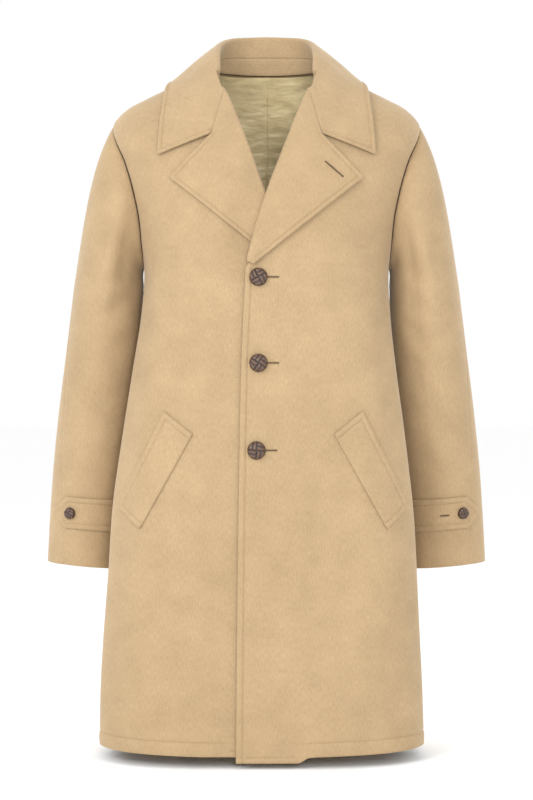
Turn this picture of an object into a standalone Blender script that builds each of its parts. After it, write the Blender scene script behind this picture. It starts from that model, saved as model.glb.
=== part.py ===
"""A single-breasted wool overcoat with notched lapels, hollow and in its worn form.

Metres, +Z up, -Y is the front and +X is the wearer's left. The origin is at the neck, midway
between the points where the shoulder seams meet the collar.
"""

import bmesh
import bpy
import numpy as np
from mathutils import Matrix, Vector

# Walls and gaps
CLOTH = 0.0020
LINING = 0.0010
SEAM = 0.0003
ROLL_GAP = 0.0024
DOUBLE = 2 * CLOTH + SEAM

# Heights
HEM = -1.008
ARMPIT = -0.300
SHOULDER_TIP = -0.085
NECK = 0.086
# The facing's part of the over front hangs lower, up to so far from the body's middle
FACING_DROP = 0.008
FACING_DROP_REACH = 0.062
FACING_DROP_RUN = 0.02

# The body's outer surface: one row for each ring. "h" runs up the side and then along the
# shoulder seam to the neck; the other columns place the ring's side, front and back.
BODY_COLUMNS = (
    "h", "side_x", "side_z", "middle_y", "front_y", "front_z", "back_y", "back_z",
    "front_power", "back_power", "sway",
)
BODY_RINGS = (
    (-1.030, 0.2391, -1.025, -0.040, -0.158, -1.030, 0.159, -1.030, 2.6, 2.3, -0.0070),
    (-1.008, 0.2387, -1.003, -0.040, -0.158, -1.008, 0.158, -1.008, 2.6, 2.3, -0.0070),
    (-0.947, 0.2364, -0.944, -0.041, -0.157, -0.947, 0.155, -0.947, 2.6, 2.3, -0.0075),
    (-0.857, 0.2318, -0.857, -0.042, -0.156, -0.857, 0.151, -0.857, 2.6, 2.25, -0.0075),
    (-0.746, 0.2250, -0.746, -0.045, -0.155, -0.746, 0.145, -0.746, 2.6, 2.2, -0.0060),
    (-0.645, 0.2190, -0.645, -0.048, -0.154, -0.645, 0.139, -0.645, 2.6, 2.15, -0.0055),
    (-0.541, 0.2070, -0.541, -0.050, -0.153, -0.541, 0.132, -0.541, 2.6, 2.1, -0.0040),
    (-0.450, 0.1940, -0.450, -0.048, -0.152, -0.450, 0.129, -0.450, 2.6, 2.1, -0.0030),
    (-0.370, 0.1840, -0.370, -0.040, -0.151, -0.370, 0.131, -0.368, 2.6, 2.15, -0.0010),
    (-0.300, 0.1820, -0.300, -0.024, -0.150, -0.302, 0.135, -0.296, 2.5, 2.3, 0.0000),
    (-0.240, 0.1930, -0.240, -0.015, -0.149, -0.246, 0.137, -0.234, 2.5, 2.4, 0.0000),
    (-0.190, 0.2065, -0.190, -0.011, -0.146, -0.214, 0.137, -0.194, 2.5, 2.5, 0.0000),
    (-0.140, 0.2190, -0.140, -0.007, -0.141, -0.188, 0.134, -0.158, 2.4, 2.4, 0.0000),
    (-0.085, 0.2290, -0.086, -0.003, -0.134, -0.164, 0.128, -0.122, 2.3, 2.3, 0.0000),
    (-0.054, 0.2095, -0.063, -0.001, -0.129, -0.146, 0.119, -0.096, 2.2, 2.2, 0.0000),
    (-0.019, 0.1800, -0.0465, 0.000, -0.123, -0.128, 0.108, -0.068, 2.1, 2.1, 0.0000),
    (0.021, 0.1440, -0.029, 0.000, -0.116, -0.109, 0.096, -0.037, 2.1, 2.1, 0.0000),
    (0.086, 0.0850, 0.000, 0.000, -0.105, -0.083, 0.075, 0.000, 2.0, 2.0, 0.0000),
    (0.106, 0.0670, 0.008, 0.000, -0.102, -0.075, 0.069, 0.010, 2.0, 2.0, 0.0000),
)
# Heights of the rows of points below the armpit
LOWER_ROWS = (
    HEM, -0.965, -0.915, -0.860, -0.800, -0.740, -0.680,
    -0.620, -0.560, -0.500, -0.445, -0.395, -0.345,
)

# Armhole: how far its front and back edges lie from the line between armpit and shoulder tip
ARMHOLE_STEPS = 12
ARMHOLE_FRONT = 28.5
ARMHOLE_BACK = 30.0
SIDE_SEAM = 96.0
SHOULDER_SEAM = 90.0
SEAM_ANGLE = 0.1
ARMHOLE_MIDDLE = (0.205, -0.005, -0.195)
ARMHOLE_GAP = 2.4 * SEAM
# How much faster than the angle the neck seam climbs from the gorge, and where the back's neck starts
NECK_CLIMB = 1.6
BACK_NECK_SHARE = 0.55

# Front edge of the coat, measured across from the body's middle towards the other front
EDGE_COLUMNS = ("z", "over_x", "under_x")
EDGE_ROWS = (
    (-1.030, -0.0440, -0.030),
    (-0.900, -0.0430, -0.030),
    (-0.610, -0.0395, -0.030),
    (-0.440, -0.0360, -0.030),
    (-0.305, -0.0300, -0.030),
)
# The line that the lapel folds on, from the top button up to the collar
ROLL_COLUMNS = ("x", "z")
ROLL_ROWS = (
    (-0.0293, -0.2985),
    (-0.0189, -0.2565),
    (-0.0010, -0.1996),
    (0.0206, -0.1410),
    (0.0400, -0.0900),
    (0.0570, -0.0460),
)
LAPEL_START = (-0.0180, -0.3030)
LAPEL_TIP = (0.1390, -0.1765)
NOTCH = (0.0800, -0.1135)
LAPEL_SHARES = (0.0, 0.12, 0.25, 0.38, 0.50, 0.62, 0.75, 0.88, 1.0)
NOTCH_SHARE = 0.5
FACING_WRAP = 0.015
FOLD_TURNS = (45.0, 90.0, 135.0, 180.0)
FLAP_SHARES = (0.10, 0.22, 0.36, NOTCH_SHARE, 0.74, 1.0)
WRAP_REACHES = (FACING_WRAP, FACING_WRAP / 2, 0.0)
SIDE_STEPS = 7
BODY_STEPS = SIDE_STEPS + len(WRAP_REACHES) - 1
BACK_STEPS = 8

# The under front gives way where the over front lies on it
GIVE_BELOW = 0.0055
GIVE_AT_LAPEL = 0.0126
GIVE_FROM = -0.060
GIVE_WIDTH = 0.052
GIVE_TOP = -0.300
GIVE_BOTTOM = -0.340

# Collar: one row for each place along half of the neck seam, from the lapel to centre back
COLLAR_COLUMNS = ("seam", "roll_x", "roll_y", "roll_z", "edge_x", "edge_y", "edge_z", "bend", "stand")
COLLAR_ROWS = (
    (52.0, 0.0615, -0.0700, -0.0340, 0.1550, -0.100, -0.1220, 0.62, 0.00),
    (60.0, 0.0660, -0.0600, -0.0220, 0.1535, -0.085, -0.0980, 0.33, 0.22),
    (69.0, 0.0690, -0.0470, -0.0060, 0.1500, -0.065, -0.0730, 0.14, 0.45),
    (80.0, 0.0706, -0.0300, 0.0130, 0.1460, -0.035, -0.0470, 0.04, 0.50),
    (93.0, 0.0712, -0.0070, 0.0285, 0.1440, 0.003, -0.0250, 0.00, 0.50),
    (108.0, 0.0700, 0.0190, 0.0405, 0.1390, 0.037, -0.0260, 0.00, 0.50),
    (124.0, 0.0635, 0.0440, 0.0505, 0.1220, 0.068, -0.0310, 0.00, 0.50),
    (142.0, 0.0500, 0.0640, 0.0570, 0.0900, 0.092, -0.0330, 0.00, 0.50),
    (161.0, 0.0270, 0.0790, 0.0605, 0.0470, 0.106, -0.0330, 0.00, 0.50),
    (180.0, 0.0000, 0.0840, 0.0620, 0.0000, 0.111, -0.0330, 0.00, 0.50),
)
COLLAR_TIP = (0.1565, -0.1435)
COLLAR_CROWN = 14.0
STAND_GAP = 0.0009
GORGE_GAP = 0.0012
COLLAR_CLEAR = 0.0016
COLLAR_PULL = 0.45
COLLAR_DROP = 0.06
FALL_SHARES = (0.008, *FLAP_SHARES[:4], 0.67, 0.84, 1.0)
COLLAR_TURNS = (0.0, 0.25, 0.5, 0.75, 1.0)
STAND_LEVELS = (0.0, 0.5, 1.0)

# Sleeve: rings below the bicep, by their distance below the origin
SLEEVE_COLUMNS = ("drop", "x", "y", "half_width", "half_depth", "tilt")
SLEEVE_RINGS = (
    (0.330, 0.2370, 0.004, 0.0520, 0.0830, 0.000),
    (0.420, 0.2440, 0.018, 0.0570, 0.0770, 0.030),
    (0.500, 0.2535, 0.034, 0.0590, 0.0700, 0.050),
    (0.600, 0.2668, 0.047, 0.0573, 0.0600, 0.070),
    (0.700, 0.2753, 0.056, 0.0563, 0.0515, 0.090),
    (0.748, 0.2778, 0.058, 0.0565, 0.0490, 0.095),
)
BICEP = 0.330
CUFF = 0.748
CAP_STEPS = (0.0, 0.14, 0.30, 0.48, 0.68, 0.86, 1.0)
ARM_STEPS = (0.045, 0.090, 0.130, 0.170, 0.220, 0.270, 0.320, 0.370, 0.418)
# Direction in which the sleeve leaves the armhole, at its top, front, bottom and back
CAP_COLUMNS = ("turn", "out_x", "out_y", "out_z", "pull")
CAP_ROWS = (
    (-90.0, 0.66, 0.62, -0.42, 0.8),
    (0.0, 0.50, 0.00, -0.86, 0.8),
    (90.0, 0.66, -0.62, -0.42, 0.8),
    (135.0, 0.80, -0.40, -0.42, 0.8),
    (180.0, 0.90, 0.00, -0.40, 0.8),
    (225.0, 0.80, 0.40, -0.42, 0.8),
    (270.0, 0.66, 0.62, -0.42, 0.8),
    (360.0, 0.50, 0.00, -0.86, 0.8),
)
ARM_HEADING = (0.155, 0.03, -1.0)
# Where the sleeve seams run: degrees round the sleeve towards the front
SEAM_COLUMNS = ("down", "outer", "inner")
SEAM_ROWS = (
    (-1.0, -30.0, 180.0),
    (0.0, 4.0, 182.0),
    (0.17, 33.0, 186.0),
    (0.418, 60.0, 190.0),
)
SLEEVE_GAP = np.degrees(SEAM / 2 / 0.055)
TOP_STEPS = 14
UNDER_STEPS = 10
# The largest creases of the sleeves: turn and down place the middle, in degrees and metres
CREASE_COLUMNS = ("side", "turn", "turn_width", "down", "down_width", "depth")
CREASES = (
    (1, 118.0, 17.0, -0.30, 0.42, 0.0075),
    (-1, 122.0, 20.0, -0.36, 0.40, 0.0060),
    (-1, 108.0, 26.0, 0.035, 0.022, 0.0030),
    (1, 112.0, 26.0, 0.060, 0.025, 0.0025),
)
CREASE_START = 0.25

# Pockets: corners of each welt, across from the body's middle, and heights
WELT_CORNERS = (
    ("top_outer", 0.1430, -0.5125),
    ("top_inner", 0.1010, -0.5460),
    ("bottom_inner", 0.1775, -0.6830),
    ("bottom_outer", 0.2095, -0.6530),
)
WELT_MIDDLE = -0.0045
WELT_THICKNESS = 0.0030
WELT_LONG_STEPS = 6
WELT_CROSS_STEPS = 2
ON_PANEL = 0.0008

# Sleeve tabs: places down the sleeve and round it
TAB_TOP = 0.644 - BICEP
TAB_BOTTOM = 0.692 - BICEP
TAB_BASE_TURN = 158.0
TAB_SHOULDER_TURN = 60.0
TAB_TIP_TURN = 33.0
TAB_BUTTON_TURN = 69.0
TAB_THICKNESS = 0.0030
TAB_LONG_STEPS = 8
TAB_CROSS_STEPS = 4

# Buttons
BUTTON_HEIGHTS = (-0.3210, -0.4440, -0.5690)
BUTTON_SHIFTS = (-0.0115, -0.0115, -0.0143)
BUTTON_RADIUS = 0.0130
BUTTON_HEIGHT = 0.0090
CUFF_BUTTON_RADIUS = 0.00875
CUFF_BUTTON_HEIGHT = 0.0065
BUTTON_SIDES = 16
BUTTON_FOOT = 0.55
BUTTON_FLARE = 0.88
BUTTON_WAIST = 0.35

# The search for the place on the surface under a point
SEARCH_STEPS = 30
FIRST_TURN = 280.0
LAY_SOFT = 0.0004

# Colours: linear red, green, blue
CAMEL = (0.62, 0.44, 0.25, 1.0)
GOLD_LINING = (0.55, 0.46, 0.25, 1.0)
DARK_LEATHER = (0.060, 0.022, 0.012, 1.0)
CLOTH_ROUGHNESS = 0.9
LEATHER_ROUGHNESS = 0.45

MIRROR = np.array([-1.0, 1.0, 1.0])


def table(columns, rows):
    """The rows as one array for each named column."""
    return {name: np.array([row[i] for row in rows], float) for i, name in enumerate(columns)}


BODY = table(BODY_COLUMNS, BODY_RINGS)
EDGE = table(EDGE_COLUMNS, EDGE_ROWS)
ROLL = table(ROLL_COLUMNS, ROLL_ROWS)
COLLAR = table(COLLAR_COLUMNS, COLLAR_ROWS)
SLEEVE = table(SLEEVE_COLUMNS, SLEEVE_RINGS)
CAP = table(CAP_COLUMNS, CAP_ROWS)
SLEEVE_SEAMS = table(SEAM_COLUMNS, SEAM_ROWS)


def curve_through(xs, ys, x):
    """A smooth curve through the points (xs, ys), read at x."""
    x = np.clip(x, xs[0], xs[-1])
    slopes = np.gradient(ys, xs)
    i = np.clip(np.searchsorted(xs, x) - 1, 0, len(xs) - 2)
    step = xs[i + 1] - xs[i]
    t = (x - xs[i]) / step
    start = (1 + 2 * t) * (1 - t) ** 2 * ys[i] + t * (1 - t) ** 2 * step * slopes[i]
    end = t * t * (3 - 2 * t) * ys[i + 1] - t * t * (1 - t) * step * slopes[i + 1]
    return start + end


def ease(t):
    """0 below 0, 1 above 1, smooth between."""
    t = np.clip(t, 0.0, 1.0)
    return t * t * (3 - 2 * t)


def unit(vectors):
    return vectors / np.linalg.norm(vectors, axis=-1, keepdims=True)


def dot(a, b):
    return np.sum(a * b, axis=-1)


# ---------------------------------------------------------------- the body's surface


def body(angle, h):
    """The outer surface: angle in degrees from centre front towards the wearer's left."""
    angle, h = np.broadcast_arrays(np.asarray(angle, float), np.asarray(h, float))
    ring = {name: curve_through(BODY["h"], BODY[name], h) for name in BODY_COLUMNS[1:]}
    sine = np.sin(np.radians(angle))
    cosine = np.cos(np.radians(angle))
    in_front = cosine > 0
    power = np.where(in_front, ring["front_power"], ring["back_power"])
    reach = (np.abs(sine) ** power + np.abs(cosine) ** power) ** (-1 / power)
    depth = np.where(in_front, ring["front_y"], ring["back_y"]) - ring["middle_y"]
    rise = np.where(in_front, ring["front_z"], ring["back_z"]) - ring["side_z"]
    x = ring["sway"] + ring["side_x"] * reach * sine
    y = ring["middle_y"] + depth * reach * np.abs(cosine)
    z = ring["side_z"] + rise * cosine**2
    return np.stack([x, y, z], axis=-1)


def outward(angle, h):
    """Unit normal of the outer surface."""
    round_it = body(angle + 0.2, h) - body(angle - 0.2, h)
    up_it = body(angle, h + 0.0005) - body(angle, h - 0.0005)
    return unit(np.cross(round_it, up_it))


def lifted(angle, h, lift):
    """A point so far outside the surface."""
    return body(angle, h) + outward(angle, h) * np.asarray(lift)[..., None]


def slopes_of_body(angle, h):
    here = body(angle, h)
    return here, (body(angle + 0.05, h) - here) / 0.05, (here - body(angle, h - 1e-4)) / 1e-4


def on_front(x, z):
    """Angle and h of the front's point that is seen at (x, z)."""
    x, z = np.broadcast_arrays(np.asarray(x, float), np.asarray(z, float))
    angle = FIRST_TURN * x
    h = z + NECK * ease((z - ARMPIT) / 0.25)
    for _ in range(SEARCH_STEPS):
        here, round_it, up_it = slopes_of_body(angle, h)
        miss_x = x - here[..., 0]
        miss_z = z - here[..., 2]
        area = round_it[..., 0] * up_it[..., 2] - up_it[..., 0] * round_it[..., 2]
        turn = (miss_x * up_it[..., 2] - up_it[..., 0] * miss_z) / area
        climb = (round_it[..., 0] * miss_z - miss_x * round_it[..., 2]) / area
        angle = angle + np.clip(turn, -8, 8)
        h = h + np.clip(climb, -0.02, 0.02)
    return angle, h


def laid_on_body(points, angle, h, least):
    """The points, moved out where they would lie less than so far above the surface."""
    for _ in range(SEARCH_STEPS):
        here, round_it, up_it = slopes_of_body(angle, h)
        miss = points - here
        aa, ab, bb = dot(round_it, round_it), dot(round_it, up_it), dot(up_it, up_it)
        am, bm = dot(round_it, miss), dot(up_it, miss)
        area = aa * bb - ab * ab
        angle = angle + np.clip((am * bb - ab * bm) / area, -6, 6)
        h = h + np.clip((aa * bm - ab * am) / area, -0.02, 0.02)
        h = np.clip(h, HEM, NECK + 0.018)
    normal = outward(angle, h)
    height = dot(points - body(angle, h), normal)
    gain = 0.5 * (least - height + np.sqrt((least - height) ** 2 + LAY_SOFT**2))
    return points + normal * gain[..., None]


def side_boundary(side, is_front):
    """Angle and h up the side seam and round the armhole to the shoulder tip, with the seam gap."""
    turns = np.radians(np.linspace(180.0, 0.0, ARMHOLE_STEPS + 1))
    share = (1 + np.cos(turns)) / 2
    middle = SIDE_SEAM + (SHOULDER_SEAM - SIDE_SEAM) * share
    width = -ARMHOLE_FRONT if is_front else ARMHOLE_BACK
    bulge = width * np.sqrt(np.clip(np.sin(np.pi * share), 0, None))
    gap = -SEAM_ANGLE if is_front else SEAM_ANGLE
    angle = np.concatenate([np.full(len(LOWER_ROWS), SIDE_SEAM), middle + bulge]) + gap
    h = np.concatenate([LOWER_ROWS, ARMPIT + (SHOULDER_TIP - ARMPIT) * share])
    return side * angle, h


# ---------------------------------------------------------------- fronts and facings


def over_edge_x(z):
    """Where the over front ends: at its roll line above the top button, at its edge below."""
    roll = curve_through(ROLL["z"], ROLL["x"], z)
    edge = curve_through(EDGE["z"], EDGE["over_x"], z)
    return np.where(z > ROLL["z"][0], roll, edge)


def give(side, points):
    """How far a point of the under front lies inside the body's surface."""
    if side > 0:
        return np.zeros(points.shape[:-1])
    x, z = points[..., 0], points[..., 2]
    covered = ease((x - over_edge_x(z) - GIVE_FROM) / GIVE_WIDTH)
    upper = ease((z - GIVE_BOTTOM) / (GIVE_TOP - GIVE_BOTTOM))
    return covered * (GIVE_BELOW + (GIVE_AT_LAPEL - GIVE_BELOW) * upper)


def front_layer(side, angle, h, lift):
    """A point of a front, a facing or a lapel, so far above its own front's surface."""
    surface = body(angle, h)
    return surface + outward(angle, h) * (lift - give(side, surface))[..., None]


def roll_points(share):
    """Points of the roll line, from the top button at 0 to the collar at 1."""
    along = np.linspace(0.0, 1.0, len(ROLL_ROWS))
    share = np.clip(share, 0, 1)
    return np.stack([curve_through(along, ROLL[name], share) for name in ROLL_COLUMNS], -1)


class LapelFold:
    """The fold on the roll line. A layer turns round it at its own radius."""

    def __init__(self, side):
        self.side = side
        share = np.array(LAPEL_SHARES)
        roll = roll_points(share)
        tangent = unit(roll_points(share + 0.01) - roll_points(share - 0.01))
        self.across = np.stack([tangent[:, 1], -tangent[:, 0]], -1)
        self.radius = ROLL_GAP / 2 + DOUBLE
        self.centre = roll + self.across * self.radius
        self.angle, self.h = self.place(self.centre)
        self.surface = body(self.angle, self.h)
        self.normal = outward(self.angle, self.h)
        beside = body(*self.place(self.centre + self.across * 0.001))
        self.inward = unit(beside - self.surface)
        self.edge = np.outer(1 - share, LAPEL_START) + np.outer(share, LAPEL_TIP)
        self.top_weight = share**3

    def place(self, flat):
        return on_front(self.side * flat[..., 0], flat[..., 1])

    def turn(self, radius, degrees):
        """Points of the fold at an angle: 0 on the front, 180 on the lapel."""
        rounding = np.radians(degrees)
        lift = ROLL_GAP / 2 - radius * np.cos(rounding) - give(self.side, self.surface)
        return self.surface + self.normal * lift[:, None] - self.inward * (radius * np.sin(rounding))

    def top_line(self, share, corner):
        """A point of the line from the fold along the gorge to the notch, and on to a corner."""
        notch = np.array(NOTCH)
        if share <= NOTCH_SHARE:
            return self.centre[-1] + (notch - self.centre[-1]) * (share / NOTCH_SHARE)
        return notch + (np.array(corner) - notch) * ((share - NOTCH_SHARE) / (1 - NOTCH_SHARE))

    def flap(self, radius, share):
        """Points of the lapel, from the fold at 0 to its edge at 1."""
        flat = self.centre + (self.edge - self.centre) * share
        flat = flat + np.outer(self.top_weight, self.top_line(share, LAPEL_TIP) - flat[-1])
        return front_layer(self.side, *self.place(flat), ROLL_GAP / 2 + radius)

    def inside(self, radius, reach):
        """Points behind the front, so far in from the fold."""
        flat = self.centre + self.across * reach
        return front_layer(self.side, *self.place(flat), ROLL_GAP / 2 - radius)


def centre_boundary(side, fold, reach):
    """Angle and h beside the front edge, the roll line and the neck seam, so far in from them."""
    z = np.array(LOWER_ROWS)
    column = "over_x" if side > 0 else "under_x"
    edge_x = curve_through(EDGE["z"], EDGE[column], z)
    angle, h = on_front(side * (edge_x + reach), z)
    fold_angle, fold_h = fold.place(fold.centre + fold.across * reach)
    steps = ARMHOLE_STEPS + 1 - len(LAPEL_SHARES)
    neck = np.arange(1, steps + 1) / steps
    end_angle = side * (SHOULDER_SEAM - SEAM_ANGLE)
    neck_angle = fold.angle[-1] + (end_angle - fold.angle[-1]) * neck
    neck_h = fold.h[-1] + (NECK - fold.h[-1]) * ease(neck * NECK_CLIMB)
    neck_angle = neck_angle + (fold_angle[-1] - fold.angle[-1]) * (1 - neck)
    neck_h = neck_h + (fold_h[-1] - fold.h[-1]) * (1 - neck) - reach * neck
    return np.concatenate([angle, fold_angle, neck_angle]), np.concatenate([h, fold_h, neck_h])


def front_wall(side, radius):
    """Points of one face of a front: rows up the body, columns from the side to the lapel's edge."""
    fold = LapelFold(side)
    side_angle, side_h = side_boundary(side, True)
    near = [centre_boundary(side, fold, reach) for reach in WRAP_REACHES]
    shares = np.linspace(0.0, 1.0, SIDE_STEPS + 1)
    angle = side_angle[:, None] + (near[0][0] - side_angle)[:, None] * shares
    h = side_h[:, None] + (near[0][1] - side_h)[:, None] * shares
    angle = np.concatenate([angle] + [pair[0][:, None] for pair in near[1:]], axis=1)
    h = np.concatenate([h] + [pair[1][:, None] for pair in near[1:]], axis=1)
    if side > 0:
        reach = body(angle[0], h[0])[:, 0]
        h[0] = h[0] - FACING_DROP * ease((FACING_DROP_REACH - reach) / FACING_DROP_RUN)
    points = front_layer(side, angle, h, np.full(angle.shape, ROLL_GAP / 2 - radius))
    first = len(LOWER_ROWS)
    last = first + len(LAPEL_SHARES)
    extra = np.repeat(points[:, -1:, :], len(FOLD_TURNS) + len(FLAP_SHARES), axis=1)
    for column, degrees in enumerate(FOLD_TURNS):
        extra[first:last, column] = fold.turn(radius, degrees)
    for column, share in enumerate(FLAP_SHARES):
        extra[first:last, len(FOLD_TURNS) + column] = fold.flap(radius, share)
    return np.concatenate([points, extra], axis=1)


def facing_wall(side, radius):
    """Points of one face of a facing: from behind the front, round the roll, to the lapel's edge."""
    fold = LapelFold(side)
    columns = [fold.inside(radius, reach) for reach in WRAP_REACHES[:-1]]
    columns += [fold.turn(radius, degrees) for degrees in (0.0, *FOLD_TURNS)]
    columns += [fold.flap(radius, share) for share in FLAP_SHARES]
    return np.stack(columns, axis=1)


def lapel_faces(shape):
    """Which cells of a front are cloth: beside the body, only the rows of the lapel."""
    keep = np.ones((shape[0] - 1, shape[1] - 1), bool)
    first = len(LOWER_ROWS)
    keep[:first, BODY_STEPS:] = False
    keep[first + len(LAPEL_SHARES) - 1 :, BODY_STEPS:] = False
    return keep


# ---------------------------------------------------------------- back, lining and collar


def back_grid(side):
    """Angle and h over one back: columns from the side and armhole to the centre seam."""
    left_angle, left_h = side_boundary(side, False)
    rows = len(left_h)
    share = np.linspace(0.0, 1.0, BACK_STEPS + 1)
    climb = (1 - np.cos(np.linspace(0.0, np.pi, rows - len(LOWER_ROWS)))) / 2
    centre_h = np.concatenate([LOWER_ROWS, ARMPIT + (NECK - ARMPIT) * climb])
    centre_gap = np.degrees(SEAM / 2 / curve_through(BODY["h"], BODY["side_x"], centre_h))
    centre_angle = side * (180.0 - centre_gap)
    shoulder = np.clip(share / BACK_NECK_SHARE, 0, 1)
    neck = np.clip((share - BACK_NECK_SHARE) / (1 - BACK_NECK_SHARE), 0, 1)
    seam_angle = side * (SHOULDER_SEAM + SEAM_ANGLE)
    top_angle = seam_angle + (centre_angle[-1] - seam_angle) * neck
    top_h = SHOULDER_TIP + (NECK - SHOULDER_TIP) * shoulder
    straight_angle = left_angle[:, None] + (centre_angle - left_angle)[:, None] * share
    straight_h = left_h[:, None] + (centre_h - left_h)[:, None] * share
    weight = np.concatenate([np.zeros(len(LOWER_ROWS)), climb**2 * ease(climb)])[:, None]
    angle = straight_angle + weight * (top_angle - straight_angle[-1])
    h = straight_h + weight * (top_h - straight_h[-1])
    return angle, h


def back_wall(side, lift):
    angle, h = back_grid(side)
    return lifted(angle, h, np.full(angle.shape, lift))


def lining_wall(side, lift):
    """The lining hangs inside the back and ends one row above its hem."""
    angle, h = back_grid(side)
    return lifted(angle[1:], h[1:], np.full(angle[1:].shape, lift))


def collar_rows():
    """Frames of the collar at each place from the wearer's left lapel round to the right one."""
    fold = LapelFold(1)
    seam_angle = np.concatenate([[fold.angle[-1]], COLLAR["seam"]])
    first = (seam_angle - fold.angle[-1]) / (SHOULDER_SEAM - fold.angle[-1])
    seam_h = fold.h[-1] + (NECK - fold.h[-1]) * ease(first * NECK_CLIMB)
    seam = body(seam_angle, seam_h)
    normal = outward(seam_angle, seam_h)
    reach = ROLL_GAP / 2 + DOUBLE
    top = np.stack([COLLAR[name] for name in ("roll_x", "roll_y", "roll_z")], -1)
    along_roll = unit(np.cross(fold.inward[-1], normal[0]))
    seam[0] = seam[0] + along_roll * np.sign(along_roll[2]) * GORGE_GAP
    start_top = seam[0] + normal[0] * (ROLL_GAP / 2) - fold.inward[-1] * (reach + 2 * STAND_GAP)
    top = np.concatenate([[start_top], top])
    up = unit(top - seam - normal * (ROLL_GAP / 2))
    up[0] = -fold.inward[-1]
    out = unit(normal - up * dot(normal, up)[:, None])
    centre = top - up * reach
    edge = np.stack([COLLAR[name] for name in ("edge_x", "edge_y", "edge_z")], -1)
    tip = body(*on_front(*COLLAR_TIP))
    edge = np.concatenate([[tip], edge])
    bend = np.concatenate([[1.0], COLLAR["bend"]])
    stand = np.concatenate([[0.0], COLLAR["stand"]])
    return {
        "seam": seam, "angle": seam_angle, "up": up, "out": out, "centre": centre,
        "edge": edge, "bend": bend, "stand": stand, "fold": fold,
    }


def stand_points(rows, share, depth):
    """Points of the stand's wall: share up from the neck seam, depth in from its outer face."""
    height = dot(rows["centre"] - rows["seam"], rows["up"])
    foot = rows["seam"] + rows["up"] * np.minimum(STAND_GAP, 0.5 * height)[:, None]
    head = rows["centre"] - rows["out"] * (ROLL_GAP / 2)
    return foot + (head - foot) * np.asarray(share)[:, None] - rows["out"] * depth


def fall_middle(rows):
    """Middle of the collar's cloth and its normals: from the stand, over the roll, to the edge."""
    radius = ROLL_GAP / 2 + DOUBLE / 2
    height = np.linalg.norm(rows["centre"] - rows["seam"], axis=-1)
    base = np.where(rows["stand"] > 0, rows["stand"] + 2 * SEAM / height, 0.0)
    columns = [stand_points(rows, base, DOUBLE / 2)]
    normals = [-rows["out"]]
    to_edge = rows["edge"] - rows["centre"]
    heading = np.degrees(np.arctan2(dot(to_edge, rows["out"]), dot(to_edge, rows["up"])))
    crown = COLLAR_CROWN * (1 - rows["bend"])
    last = np.radians(np.where(rows["bend"] > 0.9, 180.0, heading - crown))
    for share in COLLAR_TURNS:
        turn = (last * share)[:, None]
        normals.append(rows["up"] * np.sin(turn) - rows["out"] * np.cos(turn))
        columns.append(rows["centre"] + radius * normals[-1])
    start = columns[-1]
    leave = rows["up"] * np.cos(last)[:, None] + rows["out"] * np.sin(last)[:, None]
    length = np.linalg.norm(rows["edge"] - start, axis=-1)[:, None]
    handle = start + leave * length * COLLAR_PULL
    fold = rows["fold"]
    least = ROLL_GAP + DOUBLE / 2
    gorge = unit(np.array(NOTCH) - fold.centre[-1])
    gap = np.array([-gorge[1], gorge[0]]) * GORGE_GAP
    end_normals = []
    for share in FALL_SHARES:
        line = start * (1 - share) ** 2 + handle * 2 * share * (1 - share)
        line = line + rows["edge"] * share**2
        place = on_front(*(fold.top_line(share, COLLAR_TIP) + gap))
        bent = lifted(*place, least)
        end_normals.append(outward(*place))
        shift = bent - (start[0] * (1 - share) + rows["edge"][0] * share)
        plain = line + rows["bend"][:, None] * shift
        plain[0] = bent
        angle = rows["angle"] * (1 - share) + np.clip(rows["angle"], 50, 180) * share
        clear = least + COLLAR_CLEAR * (1 - rows["bend"])
        h = np.full(len(plain), NECK - COLLAR_DROP * share)
        columns.append(laid_on_body(plain, angle, h, clear))
    middle = mirrored_rows(np.stack(columns, axis=1))
    normal = grid_normals(middle)
    known = mirrored_rows(np.stack(normals, axis=1))
    normal[:, : known.shape[1]] = known
    normal[0, known.shape[1] :] = end_normals
    normal[-1, known.shape[1] :] = np.array(end_normals) * MIRROR
    return middle, normal


def mirrored_rows(points):
    """The rows, and then their mirror images from centre back to the other side."""
    return np.concatenate([points, points[-2::-1] * MIRROR])


def grid_normals(points):
    along = np.gradient(points, axis=0)
    across = np.gradient(points, axis=1)
    return unit(np.cross(across, along))


# ---------------------------------------------------------------- sleeves


def sleeve_ring(turn, down):
    """A point of the sleeve's outer surface below the bicep: turn 0 is outwards, 90 is the front."""
    drop = BICEP + down
    ring = {name: curve_through(SLEEVE["drop"], SLEEVE[name], drop) for name in SLEEVE_COLUMNS[1:]}
    across = ring["half_width"] * np.cos(np.radians(turn))
    x = ring["x"] + across
    y = ring["y"] - ring["half_depth"] * np.sin(np.radians(turn))
    z = -drop + ring["tilt"] * across
    return np.stack(np.broadcast_arrays(x, y, z), axis=-1)


def armhole_point(turn):
    """The armhole's edge, a seam's gap inside it."""
    turn = (np.asarray(turn, float) + 180.0) % 360.0 - 180.0
    share = (1 + np.cos(np.radians(turn))) / 2
    middle = SIDE_SEAM + (SHOULDER_SEAM - SIDE_SEAM) * share
    bulge = np.sqrt(np.clip(np.sin(np.pi * share), 0, None))
    in_front = (turn >= 0) & (turn <= 180)
    angle = middle + np.where(in_front, -ARMHOLE_FRONT, ARMHOLE_BACK) * bulge
    edge = body(angle, ARMPIT + (SHOULDER_TIP - ARMPIT) * share)
    return edge + unit(np.array(ARMHOLE_MIDDLE) - edge) * ARMHOLE_GAP


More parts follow.
